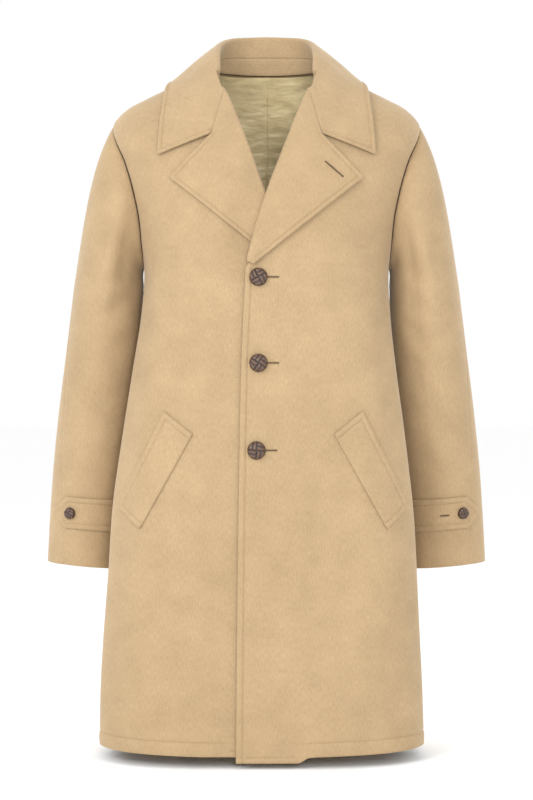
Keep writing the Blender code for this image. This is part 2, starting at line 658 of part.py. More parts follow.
def sleeve_cap(turn, share):
    """A point between the armhole at 0 and the bicep at 1."""
    start = armhole_point(turn)
    end = sleeve_ring(turn, 0.0)
    span = np.linalg.norm(end - start, axis=-1)[..., None]
    wrapped = (np.asarray(turn, float) + 90.0) % 360.0 - 90.0
    out_x, out_y, out_z, pull = (curve_through(CAP["turn"], CAP[name], wrapped) for name in CAP_COLUMNS[1:])
    leave = unit(np.stack([out_x, out_y, out_z], -1)) * pull[..., None] * span
    arrive = unit(np.array(ARM_HEADING)) * span
    t = np.asarray(share)[..., None]
    start_part = (1 + 2 * t) * (1 - t) ** 2 * start + t * (1 - t) ** 2 * leave
    end_part = t * t * (3 - 2 * t) * end - t * t * (1 - t) * arrive
    return start_part + end_part


def sleeve_smooth(turn, down):
    """The sleeve without creases: down is -1 to 0 in the cap, then metres below the bicep."""
    turn, down = np.broadcast_arrays(np.asarray(turn, float), np.asarray(down, float))
    cap = sleeve_cap(turn, np.clip(1 + down, 0, 1))
    arm = sleeve_ring(turn, np.clip(down, 0, None))
    return np.where((down < 0)[..., None], cap, arm)


def sleeve_normal(turn, down):
    """Unit normal of the sleeve, away from its middle."""
    round_it = sleeve_smooth(turn + 1.0, down) - sleeve_smooth(turn - 1.0, down)
    low = np.clip(down - 0.004, -1.0, None)
    high = np.clip(down + 0.004, None, CUFF - BICEP)
    down_it = sleeve_smooth(turn, high) - sleeve_smooth(turn, low)
    return unit(np.cross(round_it, down_it))


def sleeve_dent(side, turn, down):
    """How far the largest creases press the cloth in."""
    total = np.zeros(np.broadcast(turn, down).shape)
    for crease in CREASES:
        crease = dict(zip(CREASE_COLUMNS, crease))
        if crease["side"] != side:
            continue
        round_it = ((turn - crease["turn"]) / crease["turn_width"]) ** 2
        down_it = ((down - crease["down"]) / crease["down_width"]) ** 2
        total = total + crease["depth"] * np.exp(-round_it - down_it)
    return total * ease((down + 1.0) / CREASE_START)


def sleeve_layer(side, turn, down, lift):
    """A point of a sleeve, so far above its creased surface."""
    out = lift - sleeve_dent(side, turn, down)
    point = sleeve_smooth(turn, down) + sleeve_normal(turn, down) * out[..., None]
    return point * np.array([side, 1.0, 1.0])


def sleeve_wall(side, lift, is_top):
    """Points of one face of half a sleeve, from the armhole to the cuff."""
    down = np.array([share - 1.0 for share in CAP_STEPS] + list(ARM_STEPS))
    outer = np.interp(down, SLEEVE_SEAMS["down"], SLEEVE_SEAMS["outer"])
    inner = np.interp(down, SLEEVE_SEAMS["down"], SLEEVE_SEAMS["inner"])
    if is_top:
        start, end, steps = outer + SLEEVE_GAP, inner - SLEEVE_GAP, TOP_STEPS
    else:
        start, end, steps = inner + SLEEVE_GAP, outer + 360.0 - SLEEVE_GAP, UNDER_STEPS
    turn = start[:, None] + (end - start)[:, None] * np.linspace(0.0, 1.0, steps + 1)
    down = np.broadcast_to(down[:, None], turn.shape)
    return sleeve_layer(side, turn, down, np.full(turn.shape, lift))


# ---------------------------------------------------------------- what lies on the panels


def welt_wall(side, lift):
    """A pocket welt on its front, from its four corners."""
    corners = {name: np.array([WELT_MIDDLE + side * x, z]) for name, x, z in WELT_CORNERS}
    along = np.linspace(0.0, 1.0, WELT_LONG_STEPS + 1)[:, None, None]
    across = np.linspace(0.0, 1.0, WELT_CROSS_STEPS + 1)[None, :, None]
    outer = corners["top_outer"] * (1 - along) + corners["bottom_outer"] * along
    inner = corners["top_inner"] * (1 - along) + corners["bottom_inner"] * along
    flat = outer * (1 - across) + inner * across
    return lifted(*on_front(flat[..., 0], flat[..., 1]), np.full(flat.shape[:2], lift))


def tab_wall(side, lift):
    """A sleeve tab: a straight strap and a pointed end, on the sleeve."""
    strap = np.linspace(TAB_BASE_TURN, TAB_SHOULDER_TURN, TAB_LONG_STEPS + 1)
    rows = np.linspace(-1.0, 1.0, TAB_CROSS_STEPS + 1)
    point = np.array([0.5, 1.0]) * (TAB_TIP_TURN - TAB_SHOULDER_TURN)
    ends = TAB_SHOULDER_TURN + point * (1 - np.abs(rows))[:, None]
    turn = np.concatenate([np.repeat(strap[None, :], len(rows), axis=0), ends], axis=1)
    middle = (TAB_TOP + TAB_BOTTOM) / 2
    half = (TAB_BOTTOM - TAB_TOP) / 2
    down = np.broadcast_to((middle + half * rows)[:, None], turn.shape)
    return sleeve_layer(side, turn, down, np.full(turn.shape, lift))


# ---------------------------------------------------------------- making the meshes


def material(name, colour, roughness):
    shade = bpy.data.materials.new(name)
    shade.use_nodes = True
    shader = shade.node_tree.nodes["Principled BSDF"]
    shader.inputs["Base Color"].default_value = colour
    shader.inputs["Roughness"].default_value = roughness
    shader.inputs["Metallic"].default_value = 0.0
    return shade


def finish_object(name, mesh_maker, colour, roughness):
    """Name the mesh, point its faces outwards and put it in the scene."""
    bmesh.ops.recalc_face_normals(mesh_maker, faces=mesh_maker.faces[:])
    mesh = bpy.data.meshes.new(name)
    mesh_maker.to_mesh(mesh)
    mesh_maker.free()
    mesh.materials.append(material(name + "_finish", colour, roughness))
    mesh.shade_smooth()
    mesh.set_sharp_from_angle(angle=np.radians(50.0))
    item = bpy.data.objects.new(name, mesh)
    bpy.context.scene.collection.objects.link(item)
    return item


def cloth_piece(name, outer, inner, colour=CAMEL, keep=None):
    """A wall of cloth: a grid on its outer points, extruded to its inner points."""
    rows, columns = outer.shape[:2]
    maker = bmesh.new()
    bmesh.ops.create_grid(maker, x_segments=columns - 1, y_segments=rows - 1, size=1.0)
    place = maker.verts.layers.int.new("place")
    maker.verts.ensure_lookup_table()
    for index, vertex in enumerate(maker.verts):
        vertex[place] = index
    maker.faces.ensure_lookup_table()
    if keep is not None:
        dropped = [face for face, kept in zip(maker.faces, keep.reshape(-1)) if not kept]
        bmesh.ops.delete(maker, geom=dropped, context="FACES")
    everything = maker.faces[:] + maker.edges[:] + maker.verts[:]
    made = bmesh.ops.extrude_face_region(maker, geom=everything)
    second = {item for item in made["geom"] if isinstance(item, bmesh.types.BMVert)}
    outer_points = outer.reshape(-1, 3)
    inner_points = inner.reshape(-1, 3)
    for vertex in maker.verts:
        source = inner_points if vertex in second else outer_points
        vertex.co = Vector(source[vertex[place]])
    bmesh.ops.remove_doubles(maker, verts=maker.verts[:], dist=1e-7)
    return finish_object(name, maker, colour, CLOTH_ROUGHNESS)


def button(name, radius, height, seat, normal):
    """A domed button, turned about its middle, standing on the cloth."""
    foot, waist = radius * BUTTON_FOOT, height * BUTTON_WAIST
    profile = [(0.0, 0.0), (foot, 0.0), (radius * BUTTON_FLARE, waist * 0.45), (radius, waist)]
    for step in range(1, 4):
        rounding = np.radians(30.0 * step)
        profile.append((radius * np.cos(rounding), waist + (height - waist) * np.sin(rounding)))
    profile[-1] = (0.0, height)
    maker = bmesh.new()
    corners = [maker.verts.new((x, 0.0, z)) for x, z in profile]
    edges = [maker.edges.new(pair) for pair in zip(corners, corners[1:])]
    bmesh.ops.spin(
        maker, geom=corners + edges, cent=(0, 0, 0), axis=(0, 0, 1), angle=2 * np.pi,
        steps=BUTTON_SIDES, use_merge=True,
    )
    bmesh.ops.remove_doubles(maker, verts=maker.verts[:], dist=1e-6)
    turn = Vector(normal).to_track_quat("Z", "Y").to_matrix().to_4x4()
    bmesh.ops.transform(maker, matrix=Matrix.Translation(Vector(seat)) @ turn, verts=maker.verts[:])
    return finish_object(name, maker, DARK_LEATHER, LEATHER_ROUGHNESS)


def make_fronts():
    first_radius = ROLL_GAP / 2
    for side, word in ((1, "left"), (-1, "right")):
        outer = front_wall(side, first_radius)
        inner = front_wall(side, first_radius + CLOTH)
        cloth_piece("front_" + word, outer, inner, keep=lapel_faces(outer.shape))
        outer = facing_wall(side, first_radius + CLOTH + SEAM)
        inner = facing_wall(side, first_radius + DOUBLE)
        cloth_piece("facing_" + word, outer, inner)


def make_backs():
    for side, word in ((1, "left"), (-1, "right")):
        cloth_piece("back_" + word, back_wall(side, 0.0), back_wall(side, -CLOTH))
        outer = lining_wall(side, -CLOTH - 2 * SEAM)
        inner = lining_wall(side, -CLOTH - 2 * SEAM - LINING)
        cloth_piece("lining_back_" + word, outer, inner, GOLD_LINING)


def make_collar():
    rows = collar_rows()
    middle, normal = fall_middle(rows)
    cloth_piece("collar_fall", middle + normal * DOUBLE / 2, middle - normal * DOUBLE / 2)
    banded = {name: value[2:] for name, value in rows.items() if name != "fold"}
    outer = [stand_points(banded, banded["stand"] * level, 0.0) for level in STAND_LEVELS]
    inner = [stand_points(banded, banded["stand"] * level, DOUBLE) for level in STAND_LEVELS]
    outer, inner = np.stack(outer, axis=1), np.stack(inner, axis=1)
    cloth_piece("collar_stand", mirrored_rows(outer), mirrored_rows(inner))


def make_sleeves():
    for side, word in ((1, "left"), (-1, "right")):
        for is_top, part in ((True, "top"), (False, "under")):
            outer = sleeve_wall(side, 0.0, is_top)
            cloth_piece("sleeve_" + word + "_" + part, outer, sleeve_wall(side, -CLOTH, is_top))
        cloth_piece("tab_" + word, tab_wall(side, ON_PANEL + TAB_THICKNESS), tab_wall(side, ON_PANEL))
        middle = (TAB_TOP + TAB_BOTTOM) / 2
        turn, down = np.array(TAB_BUTTON_TURN), np.array(middle)
        seat = sleeve_layer(side, turn, down, np.array(TAB_THICKNESS + 2 * ON_PANEL))
        normal = sleeve_normal(turn, down) * np.array([side, 1.0, 1.0])
        button("button_cuff_" + word, CUFF_BUTTON_RADIUS, CUFF_BUTTON_HEIGHT, seat, normal)


def make_welts():
    for side, word in ((1, "left"), (-1, "right")):
        outer = welt_wall(side, ON_PANEL + WELT_THICKNESS)
        cloth_piece("welt_" + word, outer, welt_wall(side, ON_PANEL))


def make_front_buttons():
    for number, (height, shift) in enumerate(zip(BUTTON_HEIGHTS, BUTTON_SHIFTS), start=1):
        angle, h = on_front(np.array(shift), np.array(height))
        seat = lifted(angle, h, np.array(SEAM))
        button(f"button_front_{number}", BUTTON_RADIUS, BUTTON_HEIGHT, seat, outward(angle, h))


def main():
    for item in list(bpy.data.objects):
        bpy.data.objects.remove(item, do_unlink=True)
    make_fronts()
    make_backs()
    make_collar()
    make_sleeves()
    make_welts()
    make_front_buttons()


main()
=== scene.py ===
import bmesh
import bpy
import numpy as np
from mathutils import Matrix, Vector


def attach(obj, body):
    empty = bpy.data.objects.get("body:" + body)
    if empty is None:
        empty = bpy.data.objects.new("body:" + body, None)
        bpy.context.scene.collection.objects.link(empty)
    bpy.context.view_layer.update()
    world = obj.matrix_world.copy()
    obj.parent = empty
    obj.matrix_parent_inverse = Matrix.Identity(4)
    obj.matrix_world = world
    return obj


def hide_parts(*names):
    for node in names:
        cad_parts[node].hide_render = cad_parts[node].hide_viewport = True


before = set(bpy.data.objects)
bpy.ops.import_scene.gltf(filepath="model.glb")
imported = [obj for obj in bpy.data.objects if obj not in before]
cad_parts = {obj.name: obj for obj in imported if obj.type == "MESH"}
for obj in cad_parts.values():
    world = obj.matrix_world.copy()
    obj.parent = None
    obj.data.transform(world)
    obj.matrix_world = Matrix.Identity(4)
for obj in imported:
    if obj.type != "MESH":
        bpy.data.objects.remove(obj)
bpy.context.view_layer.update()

# Walls and gaps
CLOTH = 0.0020
LINING = 0.0010
SEAM = 0.0003
ROLL_GAP = 0.0024
DOUBLE = 2 * CLOTH + SEAM

# Heights
HEM = -1.008
ARMPIT = -0.300
SHOULDER_TIP = -0.085
NECK = 0.086

# The body's outer surface: one row for each ring. "h" runs up the side and then along the
# shoulder seam to the neck; the other columns place the ring's side, front and back.
BODY_COLUMNS = (
    "h", "side_x", "side_z", "middle_y", "front_y", "front_z", "back_y", "back_z",
    "front_power", "back_power", "sway",
)
BODY_RINGS = (
    (-1.030, 0.2391, -1.025, -0.040, -0.158, -1.030, 0.159, -1.030, 2.6, 2.3, -0.0070),
    (-1.008, 0.2387, -1.003, -0.040, -0.158, -1.008, 0.158, -1.008, 2.6, 2.3, -0.0070),
    (-0.947, 0.2364, -0.944, -0.041, -0.157, -0.947, 0.155, -0.947, 2.6, 2.3, -0.0075),
    (-0.857, 0.2318, -0.857, -0.042, -0.156, -0.857, 0.151, -0.857, 2.6, 2.25, -0.0075),
    (-0.746, 0.2250, -0.746, -0.045, -0.155, -0.746, 0.145, -0.746, 2.6, 2.2, -0.0060),
    (-0.645, 0.2190, -0.645, -0.048, -0.154, -0.645, 0.139, -0.645, 2.6, 2.15, -0.0055),
    (-0.541, 0.2070, -0.541, -0.050, -0.153, -0.541, 0.132, -0.541, 2.6, 2.1, -0.0040),
    (-0.450, 0.1940, -0.450, -0.048, -0.152, -0.450, 0.129, -0.450, 2.6, 2.1, -0.0030),
    (-0.370, 0.1840, -0.370, -0.040, -0.151, -0.370, 0.131, -0.368, 2.6, 2.15, -0.0010),
    (-0.300, 0.1820, -0.300, -0.024, -0.150, -0.302, 0.135, -0.296, 2.5, 2.3, 0.0000),
    (-0.240, 0.1930, -0.240, -0.015, -0.149, -0.246, 0.137, -0.234, 2.5, 2.4, 0.0000),
    (-0.190, 0.2065, -0.190, -0.011, -0.146, -0.214, 0.137, -0.194, 2.5, 2.5, 0.0000),
    (-0.140, 0.2190, -0.140, -0.007, -0.141, -0.188, 0.134, -0.158, 2.4, 2.4, 0.0000),
    (-0.085, 0.2290, -0.086, -0.003, -0.134, -0.164, 0.128, -0.122, 2.3, 2.3, 0.0000),
    (-0.054, 0.2095, -0.063, -0.001, -0.129, -0.146, 0.119, -0.096, 2.2, 2.2, 0.0000),
    (-0.019, 0.1800, -0.0465, 0.000, -0.123, -0.128, 0.108, -0.068, 2.1, 2.1, 0.0000),
    (0.021, 0.1440, -0.029, 0.000, -0.116, -0.109, 0.096, -0.037, 2.1, 2.1, 0.0000),
    (0.086, 0.0850, 0.000, 0.000, -0.105, -0.083, 0.075, 0.000, 2.0, 2.0, 0.0000),
    (0.106, 0.0670, 0.008, 0.000, -0.102, -0.075, 0.069, 0.010, 2.0, 2.0, 0.0000),
)
# Rows of the fine grids: close together beside the hem and its stitching, even above
HEM_GAPS = (
    0.0, 0.0007, 0.0018, 0.0035, 0.0055, 0.0070, 0.0080, 0.0088, 0.0098, 0.0115,
    0.0145, 0.0172, 0.0188, 0.0197, 0.0204, 0.0213, 0.0228, 0.0255, 0.0295,
)
HEM_STITCH = 0.020
FACING_STITCH = 0.0084
FACING_WIDTH = 0.085
FACING_THICKNESS = 0.0016
FACING_FADE = 0.01
# The facing's part of the over front hangs lower, up to so far from the body's middle
FACING_DROP = 0.008
FACING_DROP_REACH = 0.062
FACING_DROP_RUN = 0.012
FACING_DROP_HEIGHT = 0.03
LOWER_ROWS = np.concatenate([HEM + np.array(HEM_GAPS), np.linspace(HEM + 0.0375, -0.3085, 84)])

# Armhole: how far its front and back edges lie from the line between armpit and shoulder tip
ARMHOLE_STEPS = 60
ARMHOLE_FRONT = 28.5
ARMHOLE_BACK = 30.0
ARMHOLE_MIDDLE = (0.205, -0.005, -0.195)
ARMHOLE_GAP = 2.4 * SEAM
SIDE_SEAM = 96.0
SHOULDER_SEAM = 90.0
# How much faster than the angle the neck seam climbs from the gorge, and where the back's neck starts
NECK_CLIMB = 1.6
BACK_NECK_SHARE = 0.55

# Front edge of the coat, measured across from the body's middle towards the other front
EDGE_COLUMNS = ("z", "over_x", "under_x")
EDGE_ROWS = (
    (-1.030, -0.0440, -0.030),
    (-0.900, -0.0430, -0.030),
    (-0.610, -0.0395, -0.030),
    (-0.440, -0.0360, -0.030),
    (-0.305, -0.0300, -0.030),
)
# The line that the lapel folds on, from the top button up to the collar
ROLL_COLUMNS = ("x", "z")
ROLL_ROWS = (
    (-0.0293, -0.2985),
    (-0.0189, -0.2565),
    (-0.0010, -0.1996),
    (0.0206, -0.1410),
    (0.0400, -0.0900),
    (0.0570, -0.0460),
)
LAPEL_START = (-0.0180, -0.3030)
LAPEL_TIP = (0.1390, -0.1765)
NOTCH = (0.0800, -0.1135)
LAPEL_LENGTH = 0.20
NARROW_LAPEL = 0.034
LAPEL_BELLY = 0.0022
LAPEL_ROUND = 0.0017
# Distances from a finished edge, the front edge and a seam at which the fine grids have a column
EDGE_GAPS = np.array([
    0.0, 0.0005, 0.0012, 0.0022, 0.0034, 0.0047,
    0.0057, 0.0063, 0.0069, 0.0080, 0.0100, 0.0140,
])
FRONT_GAPS = np.array([
    0.0, 0.0006, 0.0014, 0.0028, 0.0045, 0.0065, 0.0080,
    0.0089, 0.0095, 0.0101, 0.0112, 0.0135, 0.018,
])
SEAM_GAPS = np.array([0.0, 0.0005, 0.0012, 0.0022, 0.0036, 0.006])
EDGE_STITCH = 0.0063
FRONT_STITCH = 0.0095
SIDE_STEPS = 34
# Rows and columns that the stitching leaves free: above the hem, beside the front edge, and at the
# lapel's fold and notch
STITCH_FROM_HEM = 8
STITCH_FROM_EDGE = 9
STITCH_FROM_FOLD = 3
STITCH_FROM_NOTCH = 2
WRAPPED_COLUMNS = 4
FOLD_TURNS = np.linspace(15.0, 180.0, 12)
FLAP_STEPS = 12
LAPEL_SHARES = np.concatenate([np.linspace(0.0, 0.91, 37), 1 - EDGE_GAPS[::-1] / LAPEL_LENGTH])
NOTCH_SHARE = 0.5
FACING_WRAP = 0.015

# The under front gives way where the over front lies on it
GIVE_BELOW = 0.0055
GIVE_AT_LAPEL = 0.0126
GIVE_FROM = -0.060
GIVE_WIDTH = 0.052
GIVE_TOP = -0.300
GIVE_BOTTOM = -0.340

# Collar: one row for each place along half of the neck seam, from the lapel to centre back
COLLAR_COLUMNS = ("seam", "roll_x", "roll_y", "roll_z", "edge_x", "edge_y", "edge_z", "bend", "stand")
COLLAR_ROWS = (
    (52.0, 0.0615, -0.0700, -0.0340, 0.1550, -0.100, -0.1220, 0.62, 0.00),
    (60.0, 0.0660, -0.0600, -0.0220, 0.1535, -0.085, -0.0980, 0.33, 0.22),
    (69.0, 0.0690, -0.0470, -0.0060, 0.1500, -0.065, -0.0730, 0.14, 0.45),
    (80.0, 0.0706, -0.0300, 0.0130, 0.1460, -0.035, -0.0470, 0.04, 0.50),
    (93.0, 0.0712, -0.0070, 0.0285, 0.1440, 0.003, -0.0250, 0.00, 0.50),
    (108.0, 0.0700, 0.0190, 0.0405, 0.1390, 0.037, -0.0260, 0.00, 0.50),
    (124.0, 0.0635, 0.0440, 0.0505, 0.1220, 0.068, -0.0310, 0.00, 0.50),
    (142.0, 0.0500, 0.0640, 0.0570, 0.0900, 0.092, -0.0330, 0.00, 0.50),
    (161.0, 0.0270, 0.0790, 0.0605, 0.0470, 0.106, -0.0330, 0.00, 0.50),
    (180.0, 0.0000, 0.0840, 0.0620, 0.0000, 0.111, -0.0330, 0.00, 0.50),
)
COLLAR_TIP = (0.1565, -0.1435)
COLLAR_CROWN = 14.0
STAND_GAP = 0.0002
GORGE_GAP = 0.00012
COLLAR_CLEAR = 0.0016
COLLAR_PULL = 0.45
COLLAR_DROP = 0.06
COLLAR_ROUND = 0.0020
COLLAR_FINE = 8
COLLAR_TURNS = np.linspace(0.0, 1.0, 13)
# Fractions of the collar's first row at which the fine collar has rows, for its front edge
FRONT_ROWS = np.concatenate([np.linspace(0.0, 0.34, 26), [0.38, 0.43, 0.49, 0.56, 0.64, 0.73, 0.82, 0.91]])
STAND_SHARES = (0.0, 0.3, 0.6, 0.85)
STAND_LEVELS = np.concatenate([[0.0, 0.03, 0.08], np.linspace(0.15, 0.85, 9), [0.92, 0.97, 1.0]])
STAND_STITCH_COLUMN = 8

# Sleeve: rings below the bicep, by their distance below the origin
SLEEVE_COLUMNS = ("drop", "x", "y", "half_width", "half_depth", "tilt")
SLEEVE_RINGS = (
    (0.330, 0.2370, 0.004, 0.0520, 0.0830, 0.000),
    (0.420, 0.2440, 0.018, 0.0570, 0.0770, 0.030),
    (0.500, 0.2535, 0.034, 0.0590, 0.0700, 0.050),
    (0.600, 0.2668, 0.047, 0.0573, 0.0600, 0.070),
    (0.700, 0.2753, 0.056, 0.0563, 0.0515, 0.090),
    (0.748, 0.2778, 0.058, 0.0565, 0.0490, 0.095),
)
BICEP = 0.330
CUFF = 0.748
TOP_STEPS = 44
UNDER_STEPS = 36
CAP_STEPS = np.concatenate([[0.0, 0.006, 0.014, 0.028, 0.045], np.linspace(0.07, 1.0, 30)])
CUFF_GAPS = np.array([0.0, 0.0006, 0.0014, 0.0026, 0.0045, 0.008])
ARM_STEPS = np.concatenate([np.linspace(0.008, 0.402, 60), 0.418 - CUFF_GAPS[::-1]])
# Direction in which the sleeve leaves the armhole, at its top, front, bottom and back
CAP_COLUMNS = ("turn", "out_x", "out_y", "out_z", "pull")
CAP_ROWS = (
    (-90.0, 0.66, 0.62, -0.42, 0.8),
    (0.0, 0.50, 0.00, -0.86, 0.8),
    (90.0, 0.66, -0.62, -0.42, 0.8),
    (135.0, 0.80, -0.40, -0.42, 0.8),
    (180.0, 0.90, 0.00, -0.40, 0.8),
    (225.0, 0.80, 0.40, -0.42, 0.8),
    (270.0, 0.66, 0.62, -0.42, 0.8),
    (360.0, 0.50, 0.00, -0.86, 0.8),
)
ARM_HEADING = (0.155, 0.03, -1.0)
# Where the outer sleeve seam runs: degrees round the sleeve towards the front
SEAM_COLUMNS = ("down", "outer", "inner")
SEAM_ROWS = (
    (-1.0, -30.0, 180.0),
    (0.0, 4.0, 182.0),
    (0.17, 33.0, 186.0),
    (0.418, 60.0, 190.0),
)
# The largest creases of the sleeves: turn and down place the middle, in degrees and metres
CREASE_COLUMNS = ("side", "turn", "turn_width", "down", "down_width", "depth")
CREASES = (
    (1, 118.0, 17.0, -0.30, 0.42, 0.0075),
    (-1, 122.0, 20.0, -0.36, 0.40, 0.0060),
    (-1, 108.0, 26.0, 0.035, 0.022, 0.0030),
    (1, 112.0, 26.0, 0.060, 0.025, 0.0025),
)
CREASE_START = 0.25

# Pockets: corners of each welt, across from the body's middle, and heights
WELT_CORNERS = (
    ("top_outer", 0.1430, -0.5125),
    ("top_inner", 0.1010, -0.5460),
    ("bottom_inner", 0.1775, -0.6830),
    ("bottom_outer", 0.2095, -0.6530),
)
WELT_MIDDLE = -0.0045
WELT_LENGTH = 0.160
WELT_WIDTH = 0.054
WELT_LONG_STEPS = 22
WELT_CROSS_STEPS = 6
# Welts and tabs: how thick they are, how far they lie off the cloth below, and how round their rims are
STRIP_THICKNESS = 0.0030
ON_PANEL = 0.0008
STRIP_ROUND = 0.0022

# Sleeve tabs: places down the sleeve and round it
TAB_TOP = 0.644 - BICEP
TAB_BOTTOM = 0.692 - BICEP
TAB_BASE_TURN = 158.0
TAB_SHOULDER_TURN = 60.0
TAB_TIP_TURN = 33.0
TAB_BUTTON_TURN = 69.0
TAB_LONG_STEPS = 33
TAB_CROSS_STEPS = 8
TAB_POINT_LENGTH = 0.030
CUFF_BUTTONHOLE = ((0.2610, -0.671), (0.2735, -0.670))

# Buttons
BUTTON_HEIGHTS = (-0.3210, -0.4440, -0.5690)
BUTTON_SHIFTS = (-0.0115, -0.0115, -0.0143)
BUTTON_RADIUS = 0.0130
BUTTON_HEIGHT = 0.0090
CUFF_BUTTON_RADIUS = 0.00875
CUFF_BUTTON_HEIGHT = 0.0065
# The woven strips: how many cross each quarter, and how far each one rises, as a share of the radius
STRIPS_ACROSS = 2.0
STRIP_RISE = 0.12
WEAVE_STEPS = 56
# Buttonholes, seen from the front: how far those of the front reach past their buttons, and the lapel's
BUTTONHOLE_START = 0.8 * BUTTON_RADIUS
BUTTONHOLE_END = BUTTON_RADIUS + 0.016
LAPEL_BUTTONHOLE = ((0.0845, -0.154), (0.1101, -0.176))

# Relief
STRIP_GAPS = EDGE_GAPS * 1.35
STRIP_STITCH = EDGE_STITCH * 1.35
RIM_RISE = 0.00090
GROOVE_DEPTH = 0.00110
GROOVE_WIDTH = 0.00115
SEAM_DEPTH = 0.0010
SEAM_WIDTH = 0.0042
CORNER = 0.0042

# Thread
STITCH_PITCH = 0.0040
STITCH_LENGTH = 0.0031
STITCH_WIDTH = 0.00075
STITCH_SINK = 0.00012
STITCH_SLANT = 0.10

# Waves that make relief and puckers uneven
RIPPLE_WAYS = ((1.0, 0.31, 0.22), (-0.42, 0.55, 0.83), (0.18, -0.71, 0.90), (0.77, 0.12, -0.65))
RIPPLE_SHIFT = 1.7
PUCKER = 0.4
PUCKER_LENGTH = 0.013

# Folds given one by one: degrees round the body or the sleeve, metres along it, ridge above 0, trough below
FOLD_COLUMNS = ("from_turn", "from_along", "to_turn", "to_along", "width", "height")
BODY_FOLD_RADIUS = 0.19
SLEEVE_FOLD_RADIUS = 0.058
CAP_LENGTH = 0.20
BODY_FOLDS = (
    # wearer's right front
    (-64.0, -0.330, -60.0, -0.640, 0.026, -0.0030),
    (-50.0, -0.380, -44.0, -0.950, 0.034, 0.0026),
    (-30.0, -0.450, -26.0, -0.930, 0.030, -0.0022),
    (-14.0, -0.350, -10.0, -0.560, 0.022, 0.0014),
    (-74.0, -0.600, -78.0, -0.980, 0.030, 0.0030),
    (-58.0, -0.235, -44.0, -0.300, 0.015, -0.0016),
    (-70.0, -0.270, -52.0, -0.370, 0.014, 0.0014),
    (-34.0, -0.660, -20.0, -0.760, 0.016, 0.0010),
    # wearer's left front
    (60.0, -0.330, 58.0, -0.620, 0.026, -0.0030),
    (46.0, -0.400, 42.0, -0.900, 0.034, 0.0026),
    (24.0, -0.480, 26.0, -0.960, 0.028, -0.0024),
    (12.0, -0.600, 14.0, -0.900, 0.022, 0.0014),
    (76.0, -0.620, 80.0, -0.980, 0.030, 0.0032),
    (60.0, -0.240, 45.0, -0.300, 0.015, -0.0016),
    (70.0, -0.275, 50.0, -0.365, 0.014, 0.0013),
    (30.0, -0.650, 44.0, -0.730, 0.016, -0.0010),
    # back
    (120.0, -0.250, 128.0, -0.560, 0.026, -0.0034),
    (-122.0, -0.260, -127.0, -0.600, 0.028, -0.0034),
    (140.0, -0.420, 144.0, -0.960, 0.034, 0.0030),
    (-138.0, -0.440, -145.0, -0.940, 0.032, 0.0028),
    (164.0, -0.300, 160.0, -0.900, 0.030, -0.0024),
    (-166.0, -0.330, -162.0, -0.860, 0.030, -0.0022),
    (112.0, -0.640, 108.0, -0.980, 0.030, 0.0030),
    (-110.0, -0.620, -108.0, -0.980, 0.030, 0.0030),
    (130.0, -0.120, 150.0, -0.150, 0.016, -0.0014),
    (-132.0, -0.125, -152.0, -0.150, 0.016, -0.0013),
)
SLEEVE_FOLDS = {
    1: (
        (150.0, -0.160, 140.0, 0.030, 0.012, -0.0022),
        (96.0, -0.140, 84.0, 0.000, 0.014, 0.0020),
        (70.0, -0.100, 62.0, 0.090, 0.016, -0.0012),
        (140.0, 0.050, 100.0, 0.085, 0.0085, -0.0022),
        (128.0, 0.085, 92.0, 0.118, 0.010, 0.0016),
        (150.0, 0.100, 112.0, 0.135, 0.009, -0.0014),
        (100.0, 0.160, 76.0, 0.230, 0.014, -0.0012),
        (220.0, -0.120, 232.0, 0.060, 0.014, -0.0026),
        (262.0, -0.150, 250.0, 0.080, 0.016, 0.0020),
        (214.0, 0.070, 252.0, 0.110, 0.010, -0.0022),
        (222.0, 0.150, 262.0, 0.125, 0.010, 0.0016),
        (290.0, -0.120, 296.0, 0.140, 0.018, -0.0014),
        (240.0, 0.200, 246.0, 0.380, 0.018, 0.0014),
    ),
    -1: (
        (152.0, -0.150, 142.0, 0.020, 0.012, -0.0022),
        (92.0, -0.150, 98.0, 0.020, 0.013, 0.0024),
        (66.0, -0.100, 66.0, 0.100, 0.016, -0.0012),
        (142.0, 0.012, 98.0, 0.040, 0.008, -0.0026),
        (146.0, 0.045, 104.0, 0.062, 0.009, 0.0018),
        (138.0, 0.080, 104.0, 0.095, 0.009, -0.0014),
        (96.0, 0.150, 80.0, 0.240, 0.014, -0.0012),
        (222.0, -0.130, 236.0, 0.050, 0.014, -0.0026),
        (268.0, -0.140, 252.0, 0.090, 0.016, 0.0020),
        (212.0, 0.050, 250.0, 0.090, 0.010, -0.0022),
        (220.0, 0.130, 260.0, 0.105, 0.010, 0.0016),
        (292.0, -0.110, 290.0, 0.130, 0.018, -0.0014),
        (238.0, 0.190, 250.0, 0.370, 0.018, 0.0014),
    ),
}
LINING_ROOM = 0.0016
